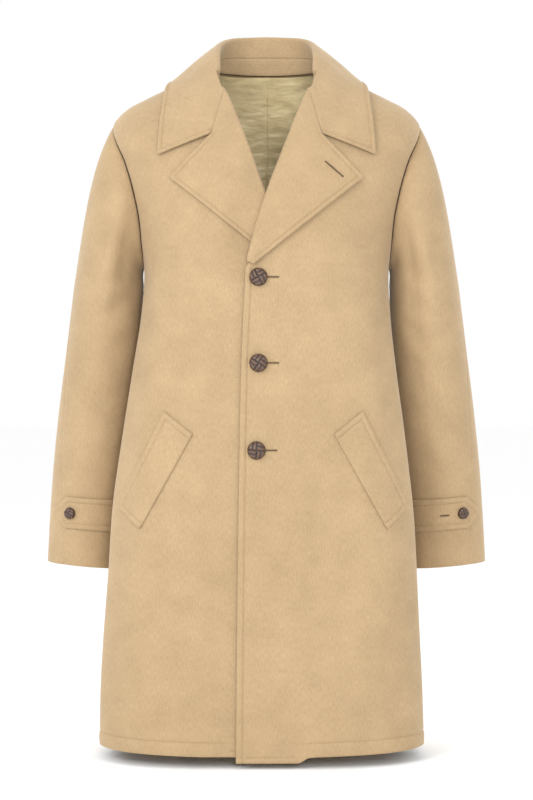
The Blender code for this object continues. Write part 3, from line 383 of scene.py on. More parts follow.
LINING_FOLDS = (
    (176.0, 0.078, 172.0, 0.020, 0.0040, 0.0016),
    (168.0, 0.080, 158.0, 0.030, 0.0045, -0.0016),
    (160.0, 0.080, 164.0, 0.045, 0.0032, 0.0012),
    (150.0, 0.078, 154.0, 0.030, 0.0040, -0.0012),
    (141.0, 0.078, 148.0, 0.040, 0.0036, 0.0014),
    (170.0, 0.010, 150.0, -0.050, 0.0090, 0.0024),
    (158.0, 0.020, 176.0, -0.060, 0.0070, -0.0018),
    (150.0, -0.020, 166.0, -0.110, 0.0080, 0.0020),
    (174.0, -0.060, 168.0, -0.200, 0.0080, -0.0016),
    (-176.0, 0.078, -170.0, 0.030, 0.0040, -0.0014),
    (-168.0, 0.080, -163.0, 0.035, 0.0038, 0.0016),
    (-158.0, 0.080, -164.0, 0.025, 0.0042, -0.0014),
    (-150.0, 0.078, -146.0, 0.040, 0.0036, 0.0014),
    (-142.0, 0.078, -150.0, 0.030, 0.0040, -0.0012),
    (-172.0, 0.005, -152.0, -0.045, 0.0085, 0.0022),
    (-160.0, -0.010, -174.0, -0.090, 0.0075, -0.0018),
    (-156.0, -0.060, -170.0, -0.160, 0.0080, 0.0018),
    (-174.0, -0.100, -166.0, -0.240, 0.0080, -0.0014),
)

# Colours, linear
WOOL = (0.400, 0.286, 0.166)
WOOL_LIGHT = (0.435, 0.317, 0.189)
WOOL_SHADE = (0.362, 0.254, 0.143)
LINING_LIGHT = (0.860, 0.720, 0.420)
LINING_SHADE = (0.700, 0.560, 0.300)
LEATHER = (0.050, 0.023, 0.013)
LEATHER_LIGHT = (0.100, 0.050, 0.028)
# Painted shade between the woven leather's strips
LEATHER_PAINTED_SHADE = (0.012, 0.006, 0.004)
THREAD_LIGHT = (0.330, 0.228, 0.122)
THREAD_DARK = (0.235, 0.154, 0.076)

# Studio
FLOOR = -1.024
CAMERA_PLACE = (0.0, -3.15, -0.497)
CAMERA_LENS = 94.4
LIGHT_AIM = (0.0, 0.0, -0.45)
LIGHTS = (
    ("key", (-1.9, -2.9, 1.1), 1.6, 48.0),
    ("front", (0.35, -3.5, 0.1), 1.0, 42.0),
    ("top", (0.0, -0.6, 2.4), 2.2, 10.0),
    ("rim_left", (-2.6, 1.6, 0.6), 1.6, 16.0),
    ("rim_right", (2.6, 1.6, 0.6), 1.6, 16.0),
)
WORLD_LIGHT = 1.0
FLOOR_REACH = 40.0
FLOOR_TONE = 0.985

# The search for the place on the surface under a point
SEARCH_STEPS = 12
FIRST_TURN = 280.0
LAY_SOFT = 0.0004

# The wearer's sides, and what turns one into the other
SIDES = ((1, "left"), (-1, "right"))
MIRROR = np.array([-1.0, 1.0, 1.0])


def table(columns, rows):
    """The rows as one array for each named column."""
    return {name: np.array([row[i] for row in rows], float) for i, name in enumerate(columns)}


BODY = table(BODY_COLUMNS, BODY_RINGS)
EDGE = table(EDGE_COLUMNS, EDGE_ROWS)
ROLL = table(ROLL_COLUMNS, ROLL_ROWS)
COLLAR = table(COLLAR_COLUMNS, COLLAR_ROWS)
SLEEVE = table(SLEEVE_COLUMNS, SLEEVE_RINGS)
CAP = table(CAP_COLUMNS, CAP_ROWS)
SLEEVE_SEAMS = table(SEAM_COLUMNS, SEAM_ROWS)


def curve_through(xs, ys, x):
    """A smooth curve through the points (xs, ys), read at x."""
    x = np.clip(x, xs[0], xs[-1])
    slopes = np.gradient(ys, xs)
    i = np.clip(np.searchsorted(xs, x) - 1, 0, len(xs) - 2)
    step = xs[i + 1] - xs[i]
    t = (x - xs[i]) / step
    start = (1 + 2 * t) * (1 - t) ** 2 * ys[i] + t * (1 - t) ** 2 * step * slopes[i]
    end = t * t * (3 - 2 * t) * ys[i + 1] - t * t * (1 - t) * step * slopes[i + 1]
    return start + end


def ease(t):
    """0 below 0, 1 above 1, smooth between."""
    t = np.clip(t, 0.0, 1.0)
    return t * t * (3 - 2 * t)


def unit(vectors):
    """The vectors' directions."""
    return vectors / np.maximum(np.linalg.norm(vectors, axis=-1, keepdims=True), 1e-12)


def dot(a, b):
    """The scalar product of each pair of vectors."""
    return np.sum(a * b, axis=-1)


def folds(rows, degrees, along, radius):
    """Height of the placed folds. Each runs between two places and fades beyond its ends."""
    across = np.radians(degrees) * radius
    across, along = np.broadcast_arrays(across, along)
    total = np.zeros(across.shape)
    for row in rows:
        fold = dict(zip(FOLD_COLUMNS, row))
        start = np.array([np.radians(fold["from_turn"]) * radius, fold["from_along"]])
        end = np.array([np.radians(fold["to_turn"]) * radius, fold["to_along"]])
        length = np.hypot(*(end - start))
        way = (end - start) / length
        share = ((across - start[0]) * way[0] + (along - start[1]) * way[1]) / length
        beside = (across - start[0]) * way[1] - (along - start[1]) * way[0]
        ends = ease((share + 0.25) / 0.5) * ease((1.25 - share) / 0.5)
        total = total + fold["height"] * ends * np.exp(-((beside / fold["width"]) ** 2))
    return total


# ---------------------------------------------------------------- the body's surface


def plain_body(angle, h):
    """The outer surface without folds: angle in degrees from centre front towards the wearer's left."""
    angle, h = np.broadcast_arrays(np.asarray(angle, float), np.asarray(h, float))
    ring = {name: curve_through(BODY["h"], BODY[name], h) for name in BODY_COLUMNS[1:]}
    sine = np.sin(np.radians(angle))
    cosine = np.cos(np.radians(angle))
    in_front = cosine > 0
    power = np.where(in_front, ring["front_power"], ring["back_power"])
    reach = (np.abs(sine) ** power + np.abs(cosine) ** power) ** (-1 / power)
    depth = np.where(in_front, ring["front_y"], ring["back_y"]) - ring["middle_y"]
    rise = np.where(in_front, ring["front_z"], ring["back_z"]) - ring["side_z"]
    x = ring["sway"] + ring["side_x"] * reach * sine
    y = ring["middle_y"] + depth * reach * np.abs(cosine)
    z = ring["side_z"] + rise * cosine**2
    return np.stack([x, y, z], axis=-1)


def body(angle, h):
    """The outer surface with the folds that the hanging cloth shows."""
    point = plain_body(angle, h)
    rise = folds(BODY_FOLDS, angle, h, BODY_FOLD_RADIUS)
    round_it = plain_body(angle + 0.2, h) - plain_body(angle - 0.2, h)
    up_it = plain_body(angle, h + 0.0005) - plain_body(angle, h - 0.0005)
    return point + unit(np.cross(round_it, up_it)) * rise[..., None]


def outward(angle, h):
    """Unit normal of the outer surface."""
    round_it = body(angle + 0.2, h) - body(angle - 0.2, h)
    up_it = body(angle, h + 0.0005) - body(angle, h - 0.0005)
    return unit(np.cross(round_it, up_it))


def lifted(angle, h, lift):
    """A point so far outside the surface."""
    return body(angle, h) + outward(angle, h) * np.asarray(lift)[..., None]


def slopes_of_body(angle, h):
    """A point of the outer surface, and how fast it moves with the angle and with h."""
    here = body(angle, h)
    return here, (body(angle + 0.05, h) - here) / 0.05, (here - body(angle, h - 1e-4)) / 1e-4


def on_front(x, z):
    """Angle and h of the front's point that is seen at (x, z)."""
    x, z = np.broadcast_arrays(np.asarray(x, float), np.asarray(z, float))
    angle = FIRST_TURN * x
    h = z + 0.08 * ease((z - ARMPIT) / 0.25)
    for _ in range(SEARCH_STEPS):
        here, round_it, up_it = slopes_of_body(angle, h)
        miss_x = x - here[..., 0]
        miss_z = z - here[..., 2]
        area = round_it[..., 0] * up_it[..., 2] - up_it[..., 0] * round_it[..., 2]
        turn = (miss_x * up_it[..., 2] - up_it[..., 0] * miss_z) / area
        climb = (round_it[..., 0] * miss_z - miss_x * round_it[..., 2]) / area
        angle = angle + np.clip(turn, -8, 8)
        h = h + np.clip(climb, -0.02, 0.02)
    return angle, h


def laid_on_body(points, angle, h, least):
    """The points, moved out where they would lie less than so far above the surface."""
    for _ in range(SEARCH_STEPS):
        here, round_it, up_it = slopes_of_body(angle, h)
        miss = points - here
        aa, ab, bb = dot(round_it, round_it), dot(round_it, up_it), dot(up_it, up_it)
        am, bm = dot(round_it, miss), dot(up_it, miss)
        area = aa * bb - ab * ab
        angle = angle + np.clip((am * bb - ab * bm) / area, -6, 6)
        h = h + np.clip((aa * bm - ab * am) / area, -0.02, 0.02)
        h = np.clip(h, HEM, BODY["h"][-1] - 0.002)
    normal = outward(angle, h)
    height = dot(points - body(angle, h), normal)
    gain = 0.5 * (least - height + np.sqrt((least - height) ** 2 + LAY_SOFT**2))
    return points + normal * gain[..., None]


def side_boundary(side, is_front):
    """Angle and h up the side seam and round the armhole to the shoulder tip."""
    turns = np.radians(np.linspace(180.0, 0.0, ARMHOLE_STEPS + 1))
    share = (1 + np.cos(turns)) / 2
    middle = SIDE_SEAM + (SHOULDER_SEAM - SIDE_SEAM) * share
    width = -ARMHOLE_FRONT if is_front else ARMHOLE_BACK
    bulge = width * np.sqrt(np.clip(np.sin(np.pi * share), 0, None))
    angle = np.concatenate([np.full(len(LOWER_ROWS), SIDE_SEAM), middle + bulge])
    h = np.concatenate([LOWER_ROWS, ARMPIT + (SHOULDER_TIP - ARMPIT) * share])
    return side * angle, h


# ---------------------------------------------------------------- fronts and facings


def over_edge_x(z):
    """Where the over front ends: at its roll line above the top button, at its edge below."""
    roll = curve_through(ROLL["z"], ROLL["x"], z)
    edge = curve_through(EDGE["z"], EDGE["over_x"], z)
    return np.where(z > ROLL["z"][0], roll, edge)


def give(side, points):
    """How far a point of the under front lies inside the body's surface."""
    if side > 0:
        return np.zeros(points.shape[:-1])
    x, z = points[..., 0], points[..., 2]
    covered = ease((x - over_edge_x(z) - GIVE_FROM) / GIVE_WIDTH)
    upper = ease((z - GIVE_BOTTOM) / (GIVE_TOP - GIVE_BOTTOM))
    return covered * (GIVE_BELOW + (GIVE_AT_LAPEL - GIVE_BELOW) * upper)


def front_layer(side, angle, h, lift):
    """A point of a front, a facing or a lapel, so far above its own front's surface."""
    surface = body(angle, h)
    return surface + outward(angle, h) * (lift - give(side, surface))[..., None]


def roll_points(share):
    """Points of the roll line, from the top button at 0 to the collar at 1."""
    along = np.linspace(0.0, 1.0, len(ROLL_ROWS))
    share = np.clip(share, 0, 1)
    return np.stack([curve_through(along, ROLL[name], share) for name in ROLL_COLUMNS], -1)


class LapelFold:
    """The fold on the roll line. A layer turns round it at its own radius."""

    def __init__(self, side):
        self.side = side
        share = LAPEL_SHARES
        roll = roll_points(share)
        tangent = unit(roll_points(share + 0.01) - roll_points(share - 0.01))
        self.across = np.stack([tangent[:, 1], -tangent[:, 0]], -1)
        self.radius = ROLL_GAP / 2 + DOUBLE
        self.centre = roll + self.across * self.radius
        self.angle, self.h = self.place(self.centre)
        self.surface = body(self.angle, self.h)
        self.normal = outward(self.angle, self.h)
        beside = body(*self.place(self.centre + self.across * 0.001))
        self.inward = unit(beside - self.surface)
        edge = np.outer(1 - share, LAPEL_START) + np.outer(share, LAPEL_TIP)
        reach = np.linalg.norm(edge - self.centre, axis=1)[:, None]
        near = EDGE_GAPS[::-1] * np.clip(reach / NARROW_LAPEL, 0, 1) / reach
        self.shares = split_shares(near, np.linspace(0.0, NOTCH_SHARE, FLAP_STEPS + 1)[1:])
        across = self.shares[..., None]
        flat = self.centre[:, None] + (edge - self.centre)[:, None] * across
        straight = self.centre[-1] + (edge[-1] - self.centre[-1]) * across
        bent = self.top_line(self.shares, LAPEL_TIP) - straight
        self.flap_place = self.place(flat + bent * (share**3)[:, None, None])
        self.belly = LAPEL_BELLY * (1 - share**4)[:, None] * np.sin(np.pi * self.shares**0.6) ** 2

    def place(self, flat):
        """Angle and h of points given across this side and by height."""
        return on_front(self.side * flat[..., 0], flat[..., 1])

    def turn(self, radius, degrees):
        """Points of the fold at an angle: 0 on the front, 180 on the lapel."""
        rounding = np.radians(degrees)
        lift = ROLL_GAP / 2 - radius * np.cos(rounding) - give(self.side, self.surface)
        return self.surface + self.normal * lift[:, None] - self.inward * (radius * np.sin(rounding))

    def top_line(self, share, corner):
        """Points of the line from the fold along the gorge to the notch, and on to a corner."""
        share = np.asarray(share, float)[..., None]
        notch = np.array(NOTCH)
        gorge = self.centre[-1] + (notch - self.centre[-1]) * (share / NOTCH_SHARE)
        beyond = notch + (np.array(corner) - notch) * ((share - NOTCH_SHARE) / (1 - NOTCH_SHARE))
        return np.where(share <= NOTCH_SHARE, gorge, beyond)

    def flap(self, radius):
        """Points of the lapel, columns from the fold to its edge."""
        return front_layer(self.side, *self.flap_place, ROLL_GAP / 2 + radius + self.belly)

    def inside(self, radius, reaches):
        """Points behind the front, columns so far in from the fold."""
        flat = self.centre[:, None] + self.across[:, None] * np.asarray(reaches)[:, None]
        return front_layer(self.side, *self.place(flat), ROLL_GAP / 2 - radius)


def split_shares(near, first):
    """Shares for each row: the first ones up to the notch, as many beyond it, then the edge's gaps."""
    beyond = np.linspace(0.0, 1.0, FLAP_STEPS + 1)[1:-1]
    first = np.broadcast_to(first, (len(near), len(first)))
    return np.concatenate([first, NOTCH_SHARE + (1 - near[:, :1] - NOTCH_SHARE) * beyond, 1 - near], axis=1)


def centre_boundary(fold, reaches):
    """Angle and h beside the front edge, the roll line and the neck seam: one row for each reach."""
    side = fold.side
    reach = np.asarray(reaches)[:, None]
    edge_x = curve_through(EDGE["z"], EDGE["over_x" if side > 0 else "under_x"], LOWER_ROWS)
    angle, h = on_front(side * (edge_x + reach), LOWER_ROWS)
    fold_angle, fold_h = fold.place(fold.centre + fold.across * reach[..., None])
    steps = ARMHOLE_STEPS + 1 - len(LAPEL_SHARES)
    neck = np.arange(1, steps + 1) / steps
    neck_angle = fold.angle[-1] + (side * SHOULDER_SEAM - fold.angle[-1]) * neck
    neck_h = fold.h[-1] + (NECK - fold.h[-1]) * ease(neck * NECK_CLIMB)
    neck_angle = neck_angle + (fold_angle[:, -1:] - fold.angle[-1]) * (1 - neck)
    neck_h = neck_h + (fold_h[:, -1:] - fold.h[-1]) * (1 - neck) - reach * neck
    angle = np.concatenate([angle, fold_angle, neck_angle], axis=1)
    return angle, np.concatenate([h, fold_h, neck_h], axis=1)


def across_shares(start, end):
    """Shares between two lines of body places: close together beside the first, then even."""
    length = np.linalg.norm(plain_body(*end) - plain_body(*start), axis=-1)[:, None]
    near = SEAM_GAPS / length
    even = np.linspace(0.0, 1.0, SIDE_STEPS + 1)[1:]
    return np.concatenate([near, near[:, -1:] + (1 - near[:, -1:]) * even], axis=1)


def front_wall(fold, radius):
    """Points of one face of a front: rows up the body, columns from the side to the lapel's edge."""
    side = fold.side
    side_place = side_boundary(side, True)
    near_angle, near_h = centre_boundary(fold, FRONT_GAPS[::-1])
    shares = across_shares(side_place, (near_angle[0], near_h[0]))
    angle = side_place[0][:, None] + (near_angle[0] - side_place[0])[:, None] * shares
    h = side_place[1][:, None] + (near_h[0] - side_place[1])[:, None] * shares
    angle = np.concatenate([angle, near_angle[1:].T], axis=1)
    h = np.concatenate([h, near_h[1:].T], axis=1)
    if side > 0:
        reach = plain_body(angle[0], h[0])[:, 0]
        low = ease((HEM + FACING_DROP_HEIGHT - LOWER_ROWS) / FACING_DROP_HEIGHT)[:, None]
        h[: len(LOWER_ROWS)] -= FACING_DROP * low * ease((FACING_DROP_REACH - reach) / FACING_DROP_RUN)
    points = front_layer(side, angle, h, np.full(angle.shape, ROLL_GAP / 2 - radius))
    first = len(LOWER_ROWS)
    last = first + len(LAPEL_SHARES)
    extra = np.repeat(points[:, -1:, :], len(FOLD_TURNS) + fold.shares.shape[1], axis=1)
    for column, degrees in enumerate(FOLD_TURNS):
        extra[first:last, column] = fold.turn(radius, degrees)
    extra[first:last, len(FOLD_TURNS) :] = fold.flap(radius)
    return np.concatenate([points, extra], axis=1)


def facing_wall(fold, radius):
    """Points of one face of a facing: from behind the front, round the roll, to the lapel's edge."""
    inside = fold.inside(radius, np.linspace(FACING_WRAP, 0.0, WRAPPED_COLUMNS + 1)[:-1])
    turned = np.stack([fold.turn(radius, degrees) for degrees in (0.0, *FOLD_TURNS)], axis=1)
    return np.concatenate([inside, turned, fold.flap(radius)], axis=1)


def lapel_faces(shape, body_columns):
    """Which cells of a front are cloth: beside the body, only the rows of the lapel."""
    keep = np.ones((shape[0] - 1, shape[1] - 1), bool)
    first = len(LOWER_ROWS)
    keep[:first, body_columns:] = False
    keep[first + len(LAPEL_SHARES) - 1 :, body_columns:] = False
    return keep


# ---------------------------------------------------------------- back, lining and collar


def back_grid(side):
    """Angle and h over one back: columns from the side and armhole to the centre seam."""
    left_angle, left_h = side_boundary(side, False)
    rows = len(left_h)
    climb = (1 - np.cos(np.linspace(0.0, np.pi, rows - len(LOWER_ROWS)))) / 2
    centre_h = np.concatenate([LOWER_ROWS, ARMPIT + (NECK - ARMPIT) * climb])
    centre_angle = np.full(rows, side * 180.0)
    share = across_shares((left_angle, left_h), (centre_angle, centre_h))
    width = np.linalg.norm(plain_body(centre_angle, centre_h) - plain_body(left_angle, left_h), axis=-1)
    close = 1 - SEAM_GAPS[-2::-1] / width[:, None]
    share = np.concatenate([share[:, :-1], close], axis=1)
    shoulder = np.clip(share / BACK_NECK_SHARE, 0, 1)
    neck = np.clip((share - BACK_NECK_SHARE) / (1 - BACK_NECK_SHARE), 0, 1)
    seam_angle = side * SHOULDER_SEAM
    top_angle = seam_angle + (centre_angle[-1] - seam_angle) * neck
    top_h = SHOULDER_TIP + (NECK - SHOULDER_TIP) * shoulder
    straight_angle = left_angle[:, None] + (centre_angle - left_angle)[:, None] * share
    straight_h = left_h[:, None] + (centre_h - left_h)[:, None] * share
    weight = np.concatenate([np.zeros(len(LOWER_ROWS)), climb**2 * ease(climb)])[:, None]
    angle = straight_angle + weight * (top_angle - straight_angle[-1])
    h = straight_h + weight * (top_h - straight_h[-1])
    return angle, h


def back_wall(side, lift):
    """Points of one face of a back."""
    angle, h = back_grid(side)
    return lifted(angle, h, np.full(angle.shape, lift))


def lining_wall(side, lift):
    """The lining hangs inside the back and ends above its hem, wrinkled as thin satin is."""
    angle, h = back_grid(side)
    start = len(HEM_GAPS) + 1
    angle, h = angle[start:], h[start:]
    wrinkle = folds(LINING_FOLDS, angle, h, BODY_FOLD_RADIUS)
    return lifted(angle, h, lift - LINING_ROOM + wrinkle)


def finer(grid, fine):
    """The rows of a grid, read smoothly between its own rows."""
    at = np.arange(len(grid), dtype=float)
    lines = [curve_through(at, line, fine) for line in grid.reshape(len(grid), -1).T]
    return np.stack(lines, axis=-1).reshape(len(fine), *grid.shape[1:])


def collar_rows():
    """Frames of the collar at each place from the wearer's left lapel round to centre back."""
    fold = LapelFold(1)
    seam_angle = np.concatenate([[fold.angle[-1]], COLLAR["seam"]])
    first = (seam_angle - fold.angle[-1]) / (SHOULDER_SEAM - fold.angle[-1])
    seam_h = fold.h[-1] + (NECK - fold.h[-1]) * ease(first * NECK_CLIMB)
    seam = body(seam_angle, seam_h)
    normal = outward(seam_angle, seam_h)
    reach = ROLL_GAP / 2 + DOUBLE
    top = np.stack([COLLAR[name] for name in ("roll_x", "roll_y", "roll_z")], -1)
    along_roll = unit(np.cross(fold.inward[-1], normal[0]))
    seam[0] = seam[0] + along_roll * np.sign(along_roll[2]) * GORGE_GAP
    start_top = seam[0] + normal[0] * (ROLL_GAP / 2) - fold.inward[-1] * (reach + 2 * STAND_GAP)
    top = np.concatenate([[start_top], top])
    up = unit(top - seam - normal * (ROLL_GAP / 2))
    up[0] = -fold.inward[-1]
    edge = np.stack([COLLAR[name] for name in ("edge_x", "edge_y", "edge_z")], -1)
    tip = body(*on_front(*COLLAR_TIP))
    rows = {
        "seam": seam, "normal": normal, "up": up, "top": top, "edge": np.concatenate([[tip], edge]),
        "bend": np.concatenate([[1.0], COLLAR["bend"]]), "stand": np.concatenate([[0.0], COLLAR["stand"]]),
        "angle": seam_angle,
    }
    rows["out"] = unit(normal - up * dot(normal, up)[:, None])
    rows["centre"] = top - up * reach
    rows["fold"] = fold
    return rows


def stand_points(rows, share, depth):
    """Points of the stand's wall: share up from the neck seam, depth in from its outer face."""
    height = dot(rows["centre"] - rows["seam"], rows["up"])
    foot = rows["seam"] + rows["up"] * np.minimum(STAND_GAP, 0.5 * height)[:, None]
    head = rows["centre"] - rows["out"] * (ROLL_GAP / 2)
    return foot + (head - foot) * np.asarray(share)[:, None] - rows["out"] * depth


def fall_shares(rows):
    """Shares across the collar's fall for each row: even first, then at the edge's gaps."""
    reach = np.linalg.norm(rows["edge"] - rows["centre"], axis=-1)
    first = np.concatenate([[0.004, 0.02], np.linspace(0.0, NOTCH_SHARE, FLAP_STEPS + 1)[1:]])
    return split_shares(EDGE_GAPS[::-1] / reach[:, None], first)


def fall_middle(rows):
    """Middle of the collar's cloth and its normals: from the stand, over the roll, to the edge."""
    radius = ROLL_GAP / 2 + DOUBLE / 2
    base = rows["stand"]
    to_edge = rows["edge"] - rows["centre"]
    heading = np.degrees(np.arctan2(dot(to_edge, rows["out"]), dot(to_edge, rows["up"])))
    crown = COLLAR_CROWN * (1 - rows["bend"])
    straight = np.radians(heading - crown)
    last = np.where(rows["bend"] > 0.9, np.pi, straight)
    start_share = base[:, None] + (1 - base[:, None]) * np.array(STAND_SHARES)
    columns = [stand_points(rows, share, DOUBLE / 2) for share in start_share.T]
    normals = [-rows["out"]] * len(columns)
    for share in COLLAR_TURNS:
        turn = (last * share)[:, None]
        normals.append(rows["up"] * np.sin(turn) - rows["out"] * np.cos(turn))
        columns.append(rows["centre"] + radius * normals[-1])
    start = columns[-1]
    leave = rows["up"] * np.cos(last)[:, None] + rows["out"] * np.sin(last)[:, None]
    length = np.linalg.norm(rows["edge"] - start, axis=-1)[:, None]
    handle = start + leave * length * COLLAR_PULL
    fold = rows["fold"]
    least = ROLL_GAP + DOUBLE / 2
    gorge = unit(np.array(NOTCH) - fold.centre[-1])
    gap = np.array([-gorge[1], gorge[0]]) * GORGE_GAP
    share = fall_shares(rows)
    along = share[..., None]
    line = start[:, None] * (1 - along) ** 2 + handle[:, None] * 2 * along * (1 - along)
    line = line + rows["edge"][:, None] * along**2
    place = on_front(*np.moveaxis(fold.top_line(share, COLLAR_TIP) + gap, -1, 0))
    bent = lifted(*place, least)
    shift = bent - (start[0] * (1 - along) + rows["edge"][0] * along)
    line = line + rows["bend"][:, None, None] * shift
    line[0] = bent[0]
    angle = rows["angle"][:, None] * (1 - share) + np.clip(rows["angle"], 50, 180)[:, None] * share
    clear = least + COLLAR_CLEAR * (1 - rows["bend"])[:, None]
    fall = laid_on_body(line, angle, NECK - COLLAR_DROP * share, clear)
    turned = mirrored_rows(np.stack(normals, axis=1))
    middle = mirrored_rows(np.concatenate([np.stack(columns, axis=1), fall], axis=1))
    even = np.linspace(1.0, len(COLLAR_ROWS), (len(COLLAR_ROWS) - 1) * COLLAR_FINE + 1)
    fine = np.concatenate([FRONT_ROWS, even])
    fine = np.concatenate([fine, 2 * len(COLLAR_ROWS) - fine[-2::-1]])
    middle = finer(middle, fine)
    normal = grid_normals(middle)
    normal[:, : turned.shape[1]] = unit(finer(turned, fine))
    ends = outward(place[0][0], place[1][0])
    normal[0, turned.shape[1] :] = ends
    normal[-1, turned.shape[1] :] = ends * MIRROR
    return middle, normal


def mirrored_rows(points):
    """The rows, and then their mirror images from centre back to the other side."""
    return np.concatenate([points, points[-2::-1] * MIRROR])


def grid_normals(points):
    """Unit normals of a grid of points."""
    along = np.gradient(points, axis=0)
    across = np.gradient(points, axis=1)
    return unit(np.cross(across, along))


# ---------------------------------------------------------------- sleeves


def sleeve_ring(turn, down):
    """A point of the sleeve's outer surface below the bicep: turn 0 is outwards, 90 is the front."""
    drop = BICEP + down
    ring = {name: curve_through(SLEEVE["drop"], SLEEVE[name], drop) for name in SLEEVE_COLUMNS[1:]}
    across = ring["half_width"] * np.cos(np.radians(turn))
    x = ring["x"] + across
    y = ring["y"] - ring["half_depth"] * np.sin(np.radians(turn))
    z = -drop + ring["tilt"] * across
    return np.stack(np.broadcast_arrays(x, y, z), axis=-1)


def armhole_point(turn):
    """The armhole's edge, a seam's gap inside it."""
    turn = (np.asarray(turn, float) + 180.0) % 360.0 - 180.0
    share = (1 + np.cos(np.radians(turn))) / 2
    middle = SIDE_SEAM + (SHOULDER_SEAM - SIDE_SEAM) * share
    bulge = np.sqrt(np.clip(np.sin(np.pi * share), 0, None))
    in_front = (turn >= 0) & (turn <= 180)
    angle = middle + np.where(in_front, -ARMHOLE_FRONT, ARMHOLE_BACK) * bulge
    edge = body(angle, ARMPIT + (SHOULDER_TIP - ARMPIT) * share)
    return edge + unit(np.array(ARMHOLE_MIDDLE) - edge) * ARMHOLE_GAP


def sleeve_cap(turn, share):
    """A point between the armhole at 0 and the bicep at 1."""
    start = armhole_point(turn)
    end = sleeve_ring(turn, 0.0)
    span = np.linalg.norm(end - start, axis=-1)[..., None]
    wrapped = (np.asarray(turn, float) + 90.0) % 360.0 - 90.0
    out_x, out_y, out_z, pull = (curve_through(CAP["turn"], CAP[name], wrapped) for name in CAP_COLUMNS[1:])
    leave = unit(np.stack([out_x, out_y, out_z], -1)) * pull[..., None] * span
    arrive = unit(np.array(ARM_HEADING)) * span
    t = np.asarray(share)[..., None]
    start_part = (1 + 2 * t) * (1 - t) ** 2 * start + t * (1 - t) ** 2 * leave
    end_part = t * t * (3 - 2 * t) * end - t * t * (1 - t) * arrive
    return start_part + end_part


def sleeve_smooth(turn, down):
    """The sleeve without creases: down is -1 to 0 in the cap, then metres below the bicep."""
    turn, down = np.broadcast_arrays(np.asarray(turn, float), np.asarray(down, float))
    cap = sleeve_cap(turn, np.clip(1 + down, 0, 1))
    arm = sleeve_ring(turn, np.clip(down, 0, None))
    return np.where((down < 0)[..., None], cap, arm)


def sleeve_normal(turn, down):
    """Unit normal of the sleeve, away from its middle."""
    round_it = sleeve_smooth(turn + 1.0, down) - sleeve_smooth(turn - 1.0, down)
    low = np.clip(down - 0.004, -1.0, None)
    high = np.clip(down + 0.004, None, CUFF - BICEP)
    down_it = sleeve_smooth(turn, high) - sleeve_smooth(turn, low)
    return unit(np.cross(round_it, down_it))


def sleeve_dent(side, turn, down):
    """How far the creases press the cloth in, the largest first."""
    total = np.zeros(np.broadcast(turn, down).shape)
    for crease in CREASES:
        crease = dict(zip(CREASE_COLUMNS, crease))
        if crease["side"] != side:
            continue
        round_it = ((turn - crease["turn"]) / crease["turn_width"]) ** 2
        down_it = ((down - crease["down"]) / crease["down_width"]) ** 2
        total = total + crease["depth"] * np.exp(-round_it - down_it)
    along = np.where(down < 0, down * CAP_LENGTH, down)
    total = total - folds(SLEEVE_FOLDS[side], turn % 360.0, along, SLEEVE_FOLD_RADIUS)
    return total * ease((down + 1.0) / CREASE_START)


def sleeve_layer(side, turn, down, lift):
    """A point of a sleeve, so far above its creased surface."""
    out = lift - sleeve_dent(side, turn, down)
    point = sleeve_smooth(turn, down) + sleeve_normal(turn, down) * out[..., None]
    return point * np.array([side, 1.0, 1.0])


def sleeve_wall(side, lift, is_top):
    """Points of one face of half a sleeve, from the armhole to the cuff."""
    down = np.concatenate([CAP_STEPS - 1.0, ARM_STEPS])
    outer = np.interp(down, SLEEVE_SEAMS["down"], SLEEVE_SEAMS["outer"])
    inner = np.interp(down, SLEEVE_SEAMS["down"], SLEEVE_SEAMS["inner"])
    if is_top:
        start, end, steps = outer, inner, TOP_STEPS
    else:
        start, end, steps = inner, outer + 360.0, UNDER_STEPS
    near = np.degrees(SEAM_GAPS / SLEEVE_FOLD_RADIUS)[1:]
    wide = (end - start)[:, None]
    even = np.linspace(0.0, 1.0, steps + 1) * (wide - 2 * near[-1]) + near[-1]
    beside = np.broadcast_to(near[:-1], (len(down), len(near) - 1))
    zero = np.zeros((len(down), 1))
    turn = start[:, None] + np.concatenate([zero, beside, even, wide - beside[:, ::-1], wide], axis=1)
    down = np.broadcast_to(down[:, None], turn.shape)
    return sleeve_layer(side, turn, down, np.full(turn.shape, lift))


# ---------------------------------------------------------------- what lies on the panels


def spread(length, steps):
    """Shares along a strip: close together at both finished ends, even between."""
    near = STRIP_GAPS / length
    even = np.linspace(near[-1], 1 - near[-1], steps + 1)
    return np.concatenate([near[:-1], even, 1 - near[-2::-1]])


def welt_wall(side, lift):
    """Points of one face of a pocket welt, from its four corners."""
    corners = {name: np.array([WELT_MIDDLE + side * x, z]) for name, x, z in WELT_CORNERS}
    along = spread(WELT_LENGTH, WELT_LONG_STEPS)[:, None, None]
    across = spread(WELT_WIDTH, WELT_CROSS_STEPS)[None, :, None]
    outer = corners["top_outer"] * (1 - along) + corners["bottom_outer"] * along
    inner = corners["top_inner"] * (1 - along) + corners["bottom_inner"] * along
    flat = outer * (1 - across) + inner * across
    return lifted(*on_front(flat[..., 0], flat[..., 1]), np.full(flat.shape[:2], lift))


